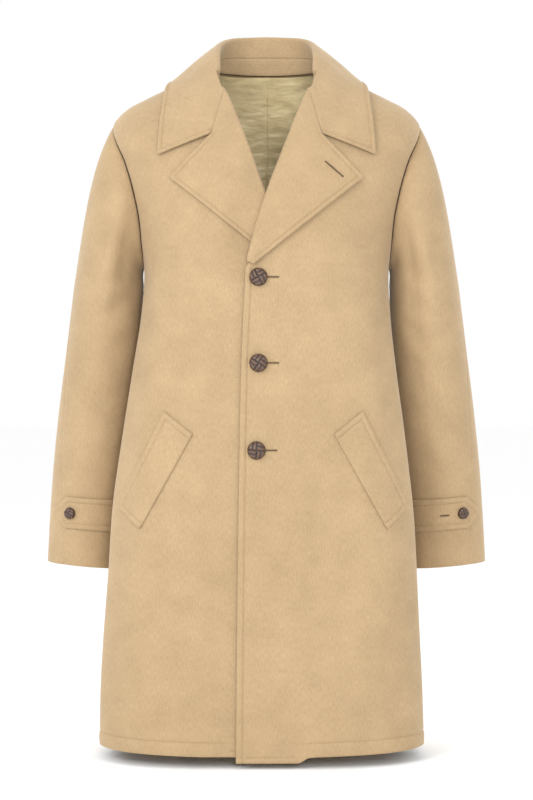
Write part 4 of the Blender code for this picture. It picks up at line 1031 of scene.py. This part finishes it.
def tab_wall(side, lift):
    """Points of one face of a sleeve tab: a straight strap and a pointed end."""
    rows = 2 * spread(TAB_BOTTOM - TAB_TOP, TAB_CROSS_STEPS) - 1
    strap = np.linspace(TAB_BASE_TURN, TAB_SHOULDER_TURN, TAB_LONG_STEPS + 1)
    point = np.concatenate([[0.15, 0.3], 1 - STRIP_GAPS[::-1] / TAB_POINT_LENGTH])
    ends = TAB_SHOULDER_TURN + (TAB_TIP_TURN - TAB_SHOULDER_TURN) * point * (1 - np.abs(rows))[:, None]
    turn = np.concatenate([np.repeat(strap[None, :], len(rows), axis=0), ends], axis=1)
    middle = (TAB_TOP + TAB_BOTTOM) / 2
    half = (TAB_BOTTOM - TAB_TOP) / 2
    down = np.broadcast_to((middle + half * rows)[:, None], turn.shape)
    return sleeve_layer(side, turn, down, np.full(turn.shape, lift))


# ---------------------------------------------------------------- relief of edges, seams and stitching


def ripple(points, length):
    """Uneven waves, about so long, between -1 and 1."""
    total = np.zeros(points.shape[:-1])
    for number, way in enumerate(RIPPLE_WAYS):
        total = total + np.sin(points @ np.array(way) * (2 * np.pi / length) + RIPPLE_SHIFT * number)
    return total / len(RIPPLE_WAYS)


def distance_to_line(points, line):
    """Distance of each point of a grid from the line through the given points."""
    flat = points.reshape(-1, 3)
    nearest = np.full(len(flat), np.inf)
    for start, end in zip(line[:-1], line[1:]):
        way = end - start
        share = np.clip((flat - start) @ way / max(way @ way, 1e-12), 0, 1)
        rest = flat - start - share[:, None] * way
        nearest = np.minimum(nearest, dot(rest, rest))
    return np.sqrt(nearest).reshape(points.shape[:2])


def nearest_of(points, lines):
    """Distance of each point of a grid from the nearest of some lines, or a metre where there are none."""
    if not lines:
        return np.ones(points.shape[:2])
    return np.min([distance_to_line(points, line) for line in lines], axis=0)


def rounded(gap, radius):
    """How far a rounded edge draws in at a distance from its end."""
    rest = np.clip(radius - gap, 0, radius)
    return radius - np.sqrt(radius**2 - rest**2)


def stitched(gap, stitch, points):
    """Relief beside topstitching: a puffed rim, and the groove that the thread pulls in."""
    pucker = 1 + PUCKER * ripple(points, PUCKER_LENGTH)
    rim = RIM_RISE * np.sin(np.pi * np.clip(gap / stitch, 0, 1))
    groove = GROOVE_DEPTH * np.exp(-(((gap - stitch) / GROOVE_WIDTH) ** 2))
    return (rim - groove) * pucker


def seam_dip(gap):
    """How far the cloth turns in beside a seam."""
    return SEAM_DEPTH * np.clip(1 - gap / SEAM_WIDTH, 0, 1) ** 2


def round_corner(grid, first_line, second_line, radius):
    """Draw the corner between two edges of a grid in to a rounded one."""
    first = distance_to_line(grid, first_line)
    second = distance_to_line(grid, second_line)
    centre = grid.reshape(-1, 3)[np.argmin((first - radius) ** 2 + (second - radius) ** 2)]
    a, b = np.clip(radius - first, 0, None), np.clip(radius - second, 0, None)
    scale = np.where((a > 0) & (b > 0), np.maximum(a, b) / np.maximum(np.hypot(a, b), 1e-9), 1.0)
    return centre + (grid - centre) * scale[..., None]


class Cloth:
    """One wall of cloth while it is shaped: its face, its back and the lines of its edges and seams."""

    def __init__(self, face, back):
        self.face, self.back = face, back

    def shape(self, free, seams, stitches=(), face_round=0.0009, back_round=0.0009):
        """Round the free edges, turn the seams in, and press each line of stitching into the face."""
        thick = unit(self.face - self.back)
        gap = nearest_of(self.face, free)
        lift = -rounded(gap, face_round) - seam_dip(nearest_of(self.face, seams))
        self.gaps = []
        for line, stitch in stitches:
            beside = distance_to_line(self.face, line)
            self.gaps.append(beside)
            lift = lift + stitched(beside, stitch, self.face)
        self.face = self.face + thick * lift[..., None]
        self.back = self.back + thick * rounded(gap, back_round)[..., None]
        self.normal = unit(self.face - self.back)

    def run(self, gap, level, rows=slice(None), columns=slice(None), turned=False, backwards=True):
        """Places of a stitched line: where the gap passes a level, from the end of each row or column."""
        packed = np.concatenate([self.face, self.normal, gap[..., None]], axis=-1)[rows, columns]
        packed = packed.transpose(1, 0, 2) if turned else packed
        packed = packed[:, ::-1] if backwards else packed
        over = packed[..., 6] > level
        inner = np.argmax(over, axis=1)
        lines = np.flatnonzero(over.any(axis=1) & (inner > 0))
        near, far = packed[lines, inner[lines] - 1], packed[lines, inner[lines]]
        share = np.clip((level - near[:, 6]) / (far[:, 6] - near[:, 6]), 0, 1)[:, None]
        spot = near + (far - near) * share
        return spot[:, :3], unit(spot[:, 3:6])


# ---------------------------------------------------------------- finishes


def shader(name):
    """A new material with its Principled shader, its node tree and its object coordinates."""
    finish = bpy.data.materials.new(name)
    finish.use_nodes = True
    tree = finish.node_tree
    place = tree.nodes.new("ShaderNodeTexCoord").outputs["Object"]
    return finish, tree.nodes["Principled BSDF"], tree, place


def noise(tree, place, scale, detail=3.0, stretch=(1.0, 1.0, 1.0), rough=0.55):
    """Noise between 0 and 1 on the given coordinates."""
    mapping = tree.nodes.new("ShaderNodeMapping")
    mapping.inputs["Scale"].default_value = stretch
    tree.links.new(place, mapping.inputs["Vector"])
    texture = tree.nodes.new("ShaderNodeTexNoise")
    texture.inputs["Scale"].default_value = scale
    texture.inputs["Detail"].default_value = detail
    texture.inputs["Roughness"].default_value = rough
    tree.links.new(mapping.outputs["Vector"], texture.inputs["Vector"])
    return texture.outputs["Fac"]


def ramp(tree, value, *stops):
    """Colours along a value: each stop is (position, colour)."""
    node = tree.nodes.new("ShaderNodeValToRGB")
    band = node.color_ramp
    while len(band.elements) < len(stops):
        band.elements.new(0.5)
    for element, (position, colour) in zip(band.elements, stops):
        element.position = position
        element.color = (*colour, 1.0)
    tree.links.new(value, node.inputs["Fac"])
    return node.outputs["Color"]


def mixed(tree, kind, amount, first, second):
    """Two colours mixed by a fixed amount or by a value."""
    node = tree.nodes.new("ShaderNodeMix")
    node.data_type = "RGBA"
    node.blend_type = kind
    if isinstance(amount, float):
        node.inputs["Factor"].default_value = amount
    else:
        tree.links.new(amount, node.inputs["Factor"])
    tree.links.new(first, node.inputs["A"])
    tree.links.new(second, node.inputs["B"])
    return node.outputs["Result"]


def bumped(tree, surface, *layers):
    """Bumps one on another: each layer is (height, strength, distance)."""
    normal = None
    for height, strength, distance in layers:
        node = tree.nodes.new("ShaderNodeBump")
        node.inputs["Strength"].default_value = strength
        node.inputs["Distance"].default_value = distance
        tree.links.new(height, node.inputs["Height"])
        if normal is not None:
            tree.links.new(normal, node.inputs["Normal"])
        normal = node.outputs["Normal"]
    tree.links.new(normal, surface.inputs["Normal"])


def lay_of(tree):
    """Metres across and along the cloth, from the piece's own attribute."""
    node = tree.nodes.new("ShaderNodeAttribute")
    node.attribute_name = "lay"
    return node.outputs["Vector"]


def brushed_wool():
    """Camel wool with a short brushed nap: soft mottling, fine pale and dark hairs, a slight bloom."""
    finish, surface, tree, place = shader("camel_wool")
    lay = lay_of(tree)
    hairs = noise(tree, lay, 2100.0, 3.0, (1.0, 0.22, 1.0), 0.62)
    clumps = noise(tree, lay, 460.0, 4.0, (1.0, 0.30, 1.0), 0.6)
    patches = noise(tree, place, 26.0, 4.0)
    drift = noise(tree, place, 5.0, 2.0)
    cloth = ramp(tree, clumps, (0.30, WOOL_SHADE), (0.52, WOOL), (0.72, WOOL_LIGHT))
    hair = ramp(tree, hairs, (0.32, (0.74, 0.72, 0.70)), (0.50, (1.0,) * 3), (0.68, (1.12, 1.11, 1.10)))
    patch = ramp(tree, patches, (0.30, (0.93, 0.925, 0.91)), (0.70, (1.05, 1.05, 1.04)))
    slow = ramp(tree, drift, (0.32, (0.965, 0.96, 0.945)), (0.68, (1.03, 1.03, 1.03)))
    colour = mixed(tree, "MULTIPLY", 0.55, cloth, hair)
    colour = mixed(tree, "MULTIPLY", 1.0, colour, patch)
    colour = mixed(tree, "MULTIPLY", 1.0, colour, slow)
    tree.links.new(colour, surface.inputs["Base Color"])
    surface.inputs["Roughness"].default_value = 0.92
    surface.inputs["Specular IOR Level"].default_value = 0.18
    surface.inputs["Sheen Weight"].default_value = 0.30
    surface.inputs["Sheen Roughness"].default_value = 0.45
    surface.inputs["Sheen Tint"].default_value = (1.0, 0.90, 0.74, 1.0)
    bumped(tree, surface, (patches, 0.20, 0.0030), (clumps, 0.16, 0.0009), (hairs, 0.22, 0.0004))
    return finish


def satin_lining():
    """Champagne gold satin: fine twill, a soft gloss along the folds."""
    finish, surface, tree, place = shader("gold_lining")
    lay = lay_of(tree)
    twill = noise(tree, lay, 1800.0, 2.0, (1.0, 0.12, 1.0))
    cloud = noise(tree, place, 30.0, 3.0)
    wrinkles = noise(tree, place, 34.0, 2.0, (0.7, 0.7, 1.9))
    tone = ramp(tree, cloud, (0.30, LINING_SHADE), (0.70, LINING_LIGHT))
    yarn = ramp(tree, twill, (0.35, (0.86, 0.86, 0.86)), (0.65, (1.06, 1.06, 1.06)))
    tree.links.new(mixed(tree, "MULTIPLY", 0.6, tone, yarn), surface.inputs["Base Color"])
    surface.inputs["Roughness"].default_value = 0.40
    surface.inputs["Specular IOR Level"].default_value = 0.42
    surface.inputs["Sheen Weight"].default_value = 0.15
    surface.inputs["Anisotropic"].default_value = 0.35
    bumped(tree, surface, (wrinkles, 0.60, 0.0080), (cloud, 0.30, 0.0030), (twill, 0.15, 0.0003))
    return finish


def woven_leather():
    """Dark brown leather, polished on top, with painted shade between the strips."""
    finish, surface, tree, place = shader("brown_leather")
    grain = noise(tree, place, 2600.0, 3.0)
    wear = noise(tree, place, 330.0, 3.0)
    # The strips' height: the ramp paints shade where it is low, between the strips and towards the dome's
    # edge, and leaves the polished tops lighter
    painted_shade_height = tree.nodes.new("ShaderNodeAttribute")
    painted_shade_height.attribute_name = "strip"
    strip = ramp(tree, painted_shade_height.outputs["Fac"], (0.10, LEATHER_PAINTED_SHADE), (0.62, LEATHER), (1.0, LEATHER_LIGHT))
    tone = ramp(tree, wear, (0.30, (0.80, 0.78, 0.76)), (0.70, (1.18, 1.12, 1.08)))
    tree.links.new(mixed(tree, "MULTIPLY", 1.0, strip, tone), surface.inputs["Base Color"])
    gloss = ramp(tree, wear, (0.30, (0.30,) * 3), (0.75, (0.46,) * 3))
    tree.links.new(gloss, surface.inputs["Roughness"])
    surface.inputs["Coat Weight"].default_value = 0.25
    surface.inputs["Coat Roughness"].default_value = 0.22
    bumped(tree, surface, (grain, 0.25, 0.0003))
    return finish


def spun_thread():
    """Camel thread, a little darker and closer than the wool."""
    finish, surface, tree, place = shader("camel_thread")
    twist = noise(tree, place, 2400.0, 2.0)
    tone = ramp(tree, twist, (0.35, THREAD_DARK), (0.65, THREAD_LIGHT))
    tree.links.new(tone, surface.inputs["Base Color"])
    surface.inputs["Roughness"].default_value = 0.70
    surface.inputs["Sheen Weight"].default_value = 0.10
    bumped(tree, surface, (twist, 0.30, 0.0003))
    return finish


def slit_shadow():
    """The dark inside of a buttonhole."""
    finish, surface, tree, place = shader("slit_shadow")
    tone = ramp(tree, noise(tree, place, 900.0), (0.3, (0.030, 0.018, 0.009)), (0.7, (0.07, 0.045, 0.024)))
    tree.links.new(tone, surface.inputs["Base Color"])
    surface.inputs["Roughness"].default_value = 0.95
    return finish


WOOL_FINISH = brushed_wool()
LINING_FINISH = satin_lining()
LEATHER_FINISH = woven_leather()
THREAD_FINISH = spun_thread()
SLIT_FINISH = slit_shadow()


# ---------------------------------------------------------------- making the pieces


def finish_piece(name, maker, finish, nodes=()):
    """Name the mesh, point its faces outwards, and let it stand for its nodes."""
    bmesh.ops.recalc_face_normals(maker, faces=maker.faces[:])
    mesh = bpy.data.meshes.new(name)
    maker.to_mesh(mesh)
    maker.free()
    mesh.materials.append(finish)
    mesh.shade_smooth()
    piece = bpy.data.objects.new(name, mesh)
    bpy.context.scene.collection.objects.link(piece)
    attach(piece, "root")
    if nodes:
        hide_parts(*nodes)
    return piece


def cloth_piece(name, cloth, node, finish=WOOL_FINISH, keep=None):
    """A wall of cloth: a grid on its face, extruded to its back, with its lay in metres."""
    rows, columns = cloth.face.shape[:2]
    maker = bmesh.new()
    bmesh.ops.create_grid(maker, x_segments=columns - 1, y_segments=rows - 1, size=1.0)
    place = maker.verts.layers.int.new("place")
    for index, vertex in enumerate(maker.verts):
        vertex[place] = index
    maker.faces.ensure_lookup_table()
    if keep is not None:
        dropped = [face for face, kept in zip(maker.faces, keep.reshape(-1)) if not kept]
        bmesh.ops.delete(maker, geom=dropped, context="FACES")
    everything = maker.faces[:] + maker.edges[:] + maker.verts[:]
    made = bmesh.ops.extrude_face_region(maker, geom=everything)
    second = {item for item in made["geom"] if isinstance(item, bmesh.types.BMVert)}
    lay = maker.verts.layers.float_vector.new("lay")
    across = np.linalg.norm(np.diff(cloth.face, axis=1, prepend=cloth.face[:, :1]), axis=-1).cumsum(axis=1)
    along = np.linalg.norm(np.diff(cloth.face, axis=0, prepend=cloth.face[:1]), axis=-1).cumsum(axis=0)
    lays = np.stack([across, along, np.zeros_like(along)], axis=-1).reshape(-1, 3).tolist()
    face = cloth.face.reshape(-1, 3).tolist()
    back = cloth.back.reshape(-1, 3).tolist()
    for vertex in maker.verts:
        source = back if vertex in second else face
        vertex.co = source[vertex[place]]
        vertex[lay] = Vector(lays[vertex[place]])
    bmesh.ops.remove_doubles(maker, verts=maker.verts[:], dist=1e-7)
    piece = finish_piece(name, maker, finish, [node])
    return piece


def read_along(distance, values, at):
    """The row of values at a distance along a run."""
    return np.array([np.interp(at, distance, column) for column in values.T])


def placed(spot, way, side, up, scale):
    """The matrix that sets a shape down at a spot, turned to three directions and scaled along them."""
    turn = Matrix(np.stack([way, side, up], axis=1).tolist()).to_4x4()
    return Matrix.Translation(Vector(spot)) @ turn @ Matrix.Diagonal((*scale, 1.0))


def sewn(name, runs, sink=STITCH_SINK, pitch=STITCH_PITCH, length=STITCH_LENGTH, width=STITCH_WIDTH):
    """Topstitching: short slanting stitches along each run of places on the cloth."""
    maker = bmesh.new()
    for points, normals in runs:
        steps = np.linalg.norm(np.diff(points, axis=0), axis=1)
        distance = np.concatenate([[0.0], np.cumsum(steps)])
        count = max(int(distance[-1] / pitch), 1)
        for middle in (np.arange(count) + 0.5) * distance[-1] / count:
            near, far = (read_along(distance, points, middle + shift) for shift in (-0.001, 0.001))
            up = unit(read_along(distance, normals, middle))
            way = unit(far - near)
            way = unit(way + unit(np.cross(up, way)) * STITCH_SLANT)
            spot = (near + far) / 2 - up * sink
            matrix = placed(spot, way, np.cross(up, way), up, (length, width, width * 0.8))
            bmesh.ops.create_icosphere(maker, subdivisions=1, radius=0.5, matrix=matrix)
    return finish_piece(name, maker, THREAD_FINISH)


def on_cloth(cloth, x, z):
    """The place and normal of the cloth that shows at (x, z) from the front."""
    face = cloth.face.reshape(-1, 3)
    normal = cloth.normal.reshape(-1, 3)
    miss = np.hypot(face[:, 0] - x, face[:, 2] - z) + 10.0 * (normal[:, 1] > -0.05)
    best = int(np.argmin(miss))
    spot, up = face[best], normal[best]
    drop = (up[0] * (x - spot[0]) + up[2] * (z - spot[2])) / up[1]
    return np.array([x, spot[1] - drop, z]), up


def buttonhole(name, cloth, start, end, slit=0.0009, lip=0.0018, pitch=0.00085):
    """A worked buttonhole along the cloth: close stitches on each side of a dark slit."""
    start, end = np.array(start), np.array(end)
    count = int(np.linalg.norm(end - start) / pitch) + 1
    spots, ups = zip(*(on_cloth(cloth, *place) for place in np.linspace(start, end, count)))
    spots, ups = np.array(spots), unit(np.mean(ups, axis=0))
    way = unit(spots[-1] - spots[0])
    side = unit(np.cross(ups, way))
    runs = []
    for spot in spots:
        for sign in (-1.0, 1.0):
            middle = spot + side * sign * (slit / 2 + lip / 2)
            near, far = middle - side * sign * lip / 2, middle + side * sign * lip / 2
            runs.append((np.array([near, far]), np.array([ups, ups])))
    sewn(name, runs, sink=-0.0001, pitch=lip, length=lip, width=0.0008)
    maker = bmesh.new()
    for spot in spots:
        matrix = placed(spot, way, side, ups, (pitch * 2.4, slit * 1.6, 0.0008))
        bmesh.ops.create_icosphere(maker, subdivisions=2, radius=0.5, matrix=matrix)
    finish_piece(name + "_slit", maker, SLIT_FINISH)


def leather_button(name, node, radius, height, seat, normal, spin):
    """A button of woven leather: strips cross in four quarters over a dome, with a rolled rim below."""
    maker = bmesh.new()
    bmesh.ops.create_grid(maker, x_segments=WEAVE_STEPS, y_segments=WEAVE_STEPS, size=1.0)
    # The strip value is each strip's height, faded towards the dome's edge; the leather finish paints shade
    # where it is low
    strip = maker.verts.layers.float.new("strip")
    waist = height * 0.34
    for vertex in maker.verts:
        u, v = vertex.co.x, vertex.co.y
        x, y = u * np.sqrt(1 - v * v / 2), v * np.sqrt(1 - u * u / 2)
        far = min(np.hypot(x, y), 1.0)
        along, across = (x, y) if (x > 0) == (y > 0) else (y, x)
        bow = across + 0.16 * along * along * np.sign(across)
        strips = abs(np.sin(bow * np.pi * STRIPS_ACROSS))
        join = 1 - np.exp(-((min(abs(x), abs(y)) / 0.07) ** 2)) * 0.8
        rise = (strips**0.55) * join
        fade = 1 - ease((far - 0.90) / 0.1)
        dome = waist + (height - waist) * np.sqrt(max(1 - far**2.2, 0.0))
        vertex.co = (x * radius, y * radius, dome + STRIP_RISE * radius * (rise - 0.5) * fade)
        vertex[strip] = rise * (0.35 + 0.65 * fade)
    rim = [edge for edge in maker.edges if edge.is_boundary]
    for scale, level in ((1.015, waist * 0.55), (0.93, waist * 0.15), (0.62, 0.0), (0.30, 0.0)):
        made = bmesh.ops.extrude_edge_only(maker, edges=rim)["geom"]
        corners = [item for item in made if isinstance(item, bmesh.types.BMVert)]
        for vertex in corners:
            out = np.hypot(vertex.co.x, vertex.co.y)
            vertex.co.x *= scale * radius / out
            vertex.co.y *= scale * radius / out
            vertex.co.z = level
            # A middling strip value on the rolled rim: a little painted shade under the dome
            vertex[strip] = 0.5
        rim = [item for item in made if isinstance(item, bmesh.types.BMEdge) and item.is_boundary]
    bmesh.ops.contextual_create(maker, geom=rim)
    axis = Vector(normal).to_track_quat("Z", "Y").to_matrix().to_4x4()
    matrix = Matrix.Translation(Vector(seat)) @ axis @ Matrix.Rotation(spin, 4, "Z")
    bmesh.ops.transform(maker, matrix=matrix, verts=maker.verts[:])
    return finish_piece(name, maker, LEATHER_FINISH, [node])


def cornered(cloth, rows, columns, notch):
    """Round the lapel's tip, where its lower edge meets the edge above the notch."""
    for grid in (cloth.face, cloth.back):
        flap = grid[rows, columns:]
        flap[:] = round_corner(flap, flap[:, -1], flap[-1, notch - columns :], CORNER)


def make_front(word, fold):
    """A front with its lapel's under-layer, its stitched edges and its hem."""
    front = Cloth(front_wall(fold, ROLL_GAP / 2), front_wall(fold, ROLL_GAP / 2 + CLOTH))
    flap_columns = fold.shares.shape[1]
    body_end = front.face.shape[1] - len(FOLD_TURNS) - flap_columns
    first, last = len(LOWER_ROWS), len(LOWER_ROWS) + len(LAPEL_SHARES)
    notch = front.face.shape[1] - flap_columns + FLAP_STEPS - 1
    edge = front.face[: first + 1, body_end - 1]
    beside = distance_to_line(front.face, edge)
    if fold.side > 0:
        double = ease((FACING_WIDTH - beside) / FACING_FADE)[..., None]
        double[first:] = 0
        front.back = front.back - unit(front.face - front.back) * double * FACING_THICKNESS
    hem = front.face[0, :body_end]
    start = front.face[first, body_end - 1 :]
    lower, top = front.face[first:last, -1], front.face[last - 1, notch:]
    cornered(front, slice(first, last), body_end, notch)
    hem_level = np.where(beside < FACING_WIDTH, FACING_STITCH, HEM_STITCH)
    seams = [front.face[:, 0], front.face[-1, :body_end], front.face[last - 1 :, body_end - 1]]
    front.shape([hem, edge, start, lower, top], seams, [(hem, hem_level), (edge, FRONT_STITCH)])
    keep = lapel_faces(front.face.shape, body_end)
    cloth_piece("front_" + word + "_cloth", front, "front_" + word, keep=keep)
    bend = int(np.argmax(beside[0, :body_end] < FACING_WIDTH))
    hem_gap = front.gaps[0]
    high = front.run(hem_gap, HEM_STITCH, slice(0, first), slice(1, bend), True, False)
    under_facing = slice(bend, body_end - STITCH_FROM_EDGE)
    low = front.run(hem_gap, FACING_STITCH, slice(0, first), under_facing, True, False)
    step = tuple(np.stack([high[i][-1], low[i][0]]) for i in (0, 1))
    down = front.run(beside, FRONT_STITCH, slice(STITCH_FROM_HEM, first - 1), slice(0, body_end))
    sewn("front_stitches_" + word, [high, step, low, down])
    return front


def make_facing(word, fold):
    """The layer of a lapel that shows, from behind the front's fold to the lapel's edge."""
    facing = Cloth(
        facing_wall(fold, ROLL_GAP / 2 + DOUBLE),
        facing_wall(fold, ROLL_GAP / 2 + CLOTH + SEAM),
    )
    fold_end = facing.face.shape[1] - fold.shares.shape[1]
    notch = fold_end + FLAP_STEPS - 1
    cornered(facing, slice(None), fold_end, notch)
    lower, top, gorge = facing.face[:, -1], facing.face[-1, notch:], facing.face[-1, : notch + 1]
    rim = np.concatenate([lower, top[::-1]])
    start = facing.face[0, WRAPPED_COLUMNS:]
    facing.shape([lower, top, start], [gorge], [(rim, EDGE_STITCH)], LAPEL_ROUND, 0.0)
    cloth_piece("facing_" + word + "_cloth", facing, "facing_" + word)
    gap, top_columns = facing.gaps[0], slice(notch + STITCH_FROM_NOTCH, None)
    lower_run = facing.run(gap, EDGE_STITCH, slice(STITCH_FROM_FOLD, None))
    top_run = facing.run(gap, EDGE_STITCH, columns=top_columns, turned=True)
    sewn("lapel_stitches_" + word, [lower_run, top_run])
    return facing


def make_fronts():
    """Both fronts with their facings. Returns the wearer's left ones, which carry the buttonholes."""
    cloths = {}
    for side, word in SIDES:
        fold = LapelFold(side)
        cloths[word] = make_front(word, fold), make_facing(word, fold)
    return cloths["left"]


def make_backs():
    """Both backs, and the satin lining inside them with its stitched centre seam."""
    for side, word in SIDES:
        back = Cloth(back_wall(side, 0.0), back_wall(side, -CLOTH))
        back.shape([back.face[0]], [back.face[:, 0], back.face[:, -1], back.face[-1]])
        cloth_piece("back_" + word + "_cloth", back, "back_" + word)
        depth = -CLOTH - 2 * SEAM
        lining = Cloth(lining_wall(side, depth - LINING), lining_wall(side, depth))
        lining.shape([lining.face[0]], [lining.face[:, -1]], face_round=0.0004, back_round=0.0004)
        node = "lining_back_" + word
        cloth_piece(node + "_cloth", lining, node, LINING_FINISH)
        if side > 0:
            sewn("lining_stitches", [(lining.face[:, -3], lining.normal[:, -3])])


def make_collar_fall(rows):
    """The collar from its stand over the roll to its stitched edge and points."""
    middle, normal = fall_middle(rows)
    fall = Cloth(middle + normal * DOUBLE / 2, middle - normal * DOUBLE / 2)
    first_fall = len(STAND_SHARES) + len(COLLAR_TURNS)
    notch = first_fall + 2 + FLAP_STEPS - 1
    for grid in (fall.face, fall.back):
        half = len(grid) // 2
        for part in (grid[: half + 1, first_fall:], grid[half:, first_fall:][::-1]):
            part[:] = round_corner(part, part[:, -1], part[0, notch - first_fall :], CORNER)
    outer = fall.face[:, -1]
    ends = [fall.face[0, notch:], fall.face[-1, notch:]]
    gorges = [fall.face[0, : notch + 1], fall.face[-1, : notch + 1]]
    rim = np.concatenate([ends[0], outer, ends[1][::-1]])
    fall.shape([outer, *ends], gorges, [(rim, EDGE_STITCH)], COLLAR_ROUND, COLLAR_ROUND)
    cloth_piece("collar_fall_cloth", fall, "collar_fall")
    gap, tips = fall.gaps[0], slice(notch + STITCH_FROM_NOTCH, None)
    runs = [fall.run(gap, EDGE_STITCH)]
    runs += [fall.run(gap, EDGE_STITCH, columns=tips, turned=True, backwards=way) for way in (True, False)]
    sewn("collar_stitches", runs)


def make_collar_stand(rows):
    """The band inside the neck, with a stitched line along it."""
    banded = {name: value[2:] for name, value in rows.items() if name != "fold"}
    walls = []
    for depth in (DOUBLE, 0.0):
        lines = [stand_points(banded, banded["stand"] * level, depth) for level in STAND_LEVELS]
        wall = mirrored_rows(np.stack(lines, 1))
        walls.append(finer(wall, np.linspace(0.0, len(wall) - 1, (len(wall) - 1) * COLLAR_FINE + 1)))
    stand = Cloth(*walls)
    stand.shape([], [stand.face[:, 0], stand.face[:, -1]])
    cloth_piece("collar_stand_cloth", stand, "collar_stand")
    line = STAND_STITCH_COLUMN
    sewn("stand_stitches", [(stand.face[:, line], stand.normal[:, line])])


def long_runs(strip):
    """The stitched lines inside the two opposite edges of a welt or a tab."""
    gap = strip.gaps[0]
    return [strip.run(gap, STRIP_STITCH, turned=True, backwards=way) for way in (True, False)]


def make_sleeves():
    """Both sleeves in two halves, each with its tab, its woven button and the tab's stitching."""
    for side, word in SIDES:
        for is_top, part in ((True, "top"), (False, "under")):
            sleeve = Cloth(sleeve_wall(side, 0.0, is_top), sleeve_wall(side, -CLOTH, is_top))
            sleeve.shape([sleeve.face[-1]], [sleeve.face[0], sleeve.face[:, 0], sleeve.face[:, -1]])
            cloth_piece(f"sleeve_{word}_{part}_cloth", sleeve, f"sleeve_{word}_{part}")
        tab = Cloth(tab_wall(side, ON_PANEL + STRIP_THICKNESS), tab_wall(side, ON_PANEL))
        rim = np.concatenate([tab.face[0], tab.face[:, -1], tab.face[-1, ::-1]])
        tab.shape([rim], [], [(rim, STRIP_STITCH)], STRIP_ROUND, 0.0)
        cloth_piece("tab_" + word + "_cloth", tab, "tab_" + word)
        sewn("tab_stitches_" + word, [*long_runs(tab), tab.run(tab.gaps[0], STRIP_STITCH)])
        make_cuff_button(side, word, tab)


def make_cuff_button(side, word, tab):
    """A small woven button on a tab. The wearer's left one leaves its buttonhole's end in sight."""
    turn, down = np.array(TAB_BUTTON_TURN), np.array((TAB_TOP + TAB_BOTTOM) / 2)
    seat = sleeve_layer(side, turn, down, np.array(STRIP_THICKNESS + 2 * ON_PANEL))
    normal = sleeve_normal(turn, down) * np.array([side, 1.0, 1.0])
    node = "button_cuff_" + word
    size = CUFF_BUTTON_RADIUS, CUFF_BUTTON_HEIGHT
    leather_button(node + "_woven", node, *size, seat, normal, 0.4 * side)
    if side > 0:
        buttonhole("buttonhole_cuff", tab, *CUFF_BUTTONHOLE)


def make_welts():
    """Both slanted pocket welts, raised most at their stitched short ends."""
    for side, word in SIDES:
        welt = Cloth(welt_wall(side, ON_PANEL + STRIP_THICKNESS), welt_wall(side, ON_PANEL))
        rims = [welt.face[0], welt.face[-1], welt.face[:, 0], welt.face[:, -1]]
        stitched_rim = np.concatenate([rims[0][::-1], rims[2], rims[1]])
        welt.shape(rims, [], [(stitched_rim, STRIP_STITCH)], STRIP_ROUND, 0.0)
        cloth_piece("welt_" + word + "_cloth", welt, "welt_" + word)
        long_edge = welt.run(welt.gaps[0], STRIP_STITCH, backwards=False)
        sewn("welt_stitches_" + word, [*long_runs(welt), long_edge])


def make_front_buttons(front, facing):
    """The three woven buttons, their buttonholes in the front and the one in the lapel."""
    for number, (height, shift) in enumerate(zip(BUTTON_HEIGHTS, BUTTON_SHIFTS), start=1):
        angle, h = on_front(np.array(shift), np.array(height))
        seat = lifted(angle, h, np.array(SEAM))
        node = f"button_front_{number}"
        size = BUTTON_RADIUS, BUTTON_HEIGHT
        leather_button(node + "_woven", node, *size, seat, outward(angle, h), 0.5 * number)
        start, end = (shift + BUTTONHOLE_START, height), (shift + BUTTONHOLE_END, height)
        buttonhole(f"buttonhole_front_{number}", front, start, end)
    buttonhole("buttonhole_lapel", facing, *LAPEL_BUTTONHOLE)


# ---------------------------------------------------------------- studio


def make_floor():
    """A plain pale floor just under the hem."""
    maker = bmesh.new()
    bmesh.ops.create_grid(maker, x_segments=2, y_segments=2, size=FLOOR_REACH)
    bmesh.ops.translate(maker, verts=maker.verts[:], vec=(0.0, 0.0, FLOOR))
    mesh = bpy.data.meshes.new("floor")
    maker.to_mesh(mesh)
    maker.free()
    finish = bpy.data.materials.new("pale_floor")
    finish.use_nodes = True
    surface = finish.node_tree.nodes["Principled BSDF"]
    surface.inputs["Base Color"].default_value = (FLOOR_TONE, FLOOR_TONE, FLOOR_TONE, 1.0)
    surface.inputs["Roughness"].default_value = 0.9
    mesh.materials.append(finish)
    floor = bpy.data.objects.new("floor", mesh)
    bpy.context.scene.collection.objects.link(floor)


def make_lights():
    """Soft lamps round the coat in an even white surround."""
    for name, place, size, power in LIGHTS:
        lamp = bpy.data.lights.new(name, "AREA")
        lamp.shape = "DISK"
        lamp.size = size
        lamp.energy = power
        item = bpy.data.objects.new(name, lamp)
        item.location = place
        item.rotation_euler = (Vector(LIGHT_AIM) - Vector(place)).to_track_quat("-Z", "Y").to_euler()
        bpy.context.scene.collection.objects.link(item)
    world = bpy.data.worlds.new("studio")
    world.use_nodes = True
    surround = world.node_tree.nodes["Background"]
    surround.inputs["Color"].default_value = (1.0, 1.0, 1.0, 1.0)
    surround.inputs["Strength"].default_value = WORLD_LIGHT
    bpy.context.scene.world = world
    bpy.context.scene.view_settings.view_transform = "Standard"


def make_camera():
    """The camera at the photograph's angle."""
    lens = bpy.data.cameras.new("camera")
    lens.sensor_width = 36.0
    lens.lens = CAMERA_LENS
    camera = bpy.data.objects.new("camera", lens)
    camera.location = CAMERA_PLACE
    camera.rotation_euler = (np.pi / 2, 0.0, 0.0)
    bpy.context.scene.collection.objects.link(camera)
    bpy.context.scene.camera = camera


make_floor()
make_lights()
make_camera()
left_front, left_facing = make_fronts()
make_backs()
collar = collar_rows()
make_collar_fall(collar)
make_collar_stand(collar)
make_sleeves()
make_welts()
make_front_buttons(left_front, left_facing)
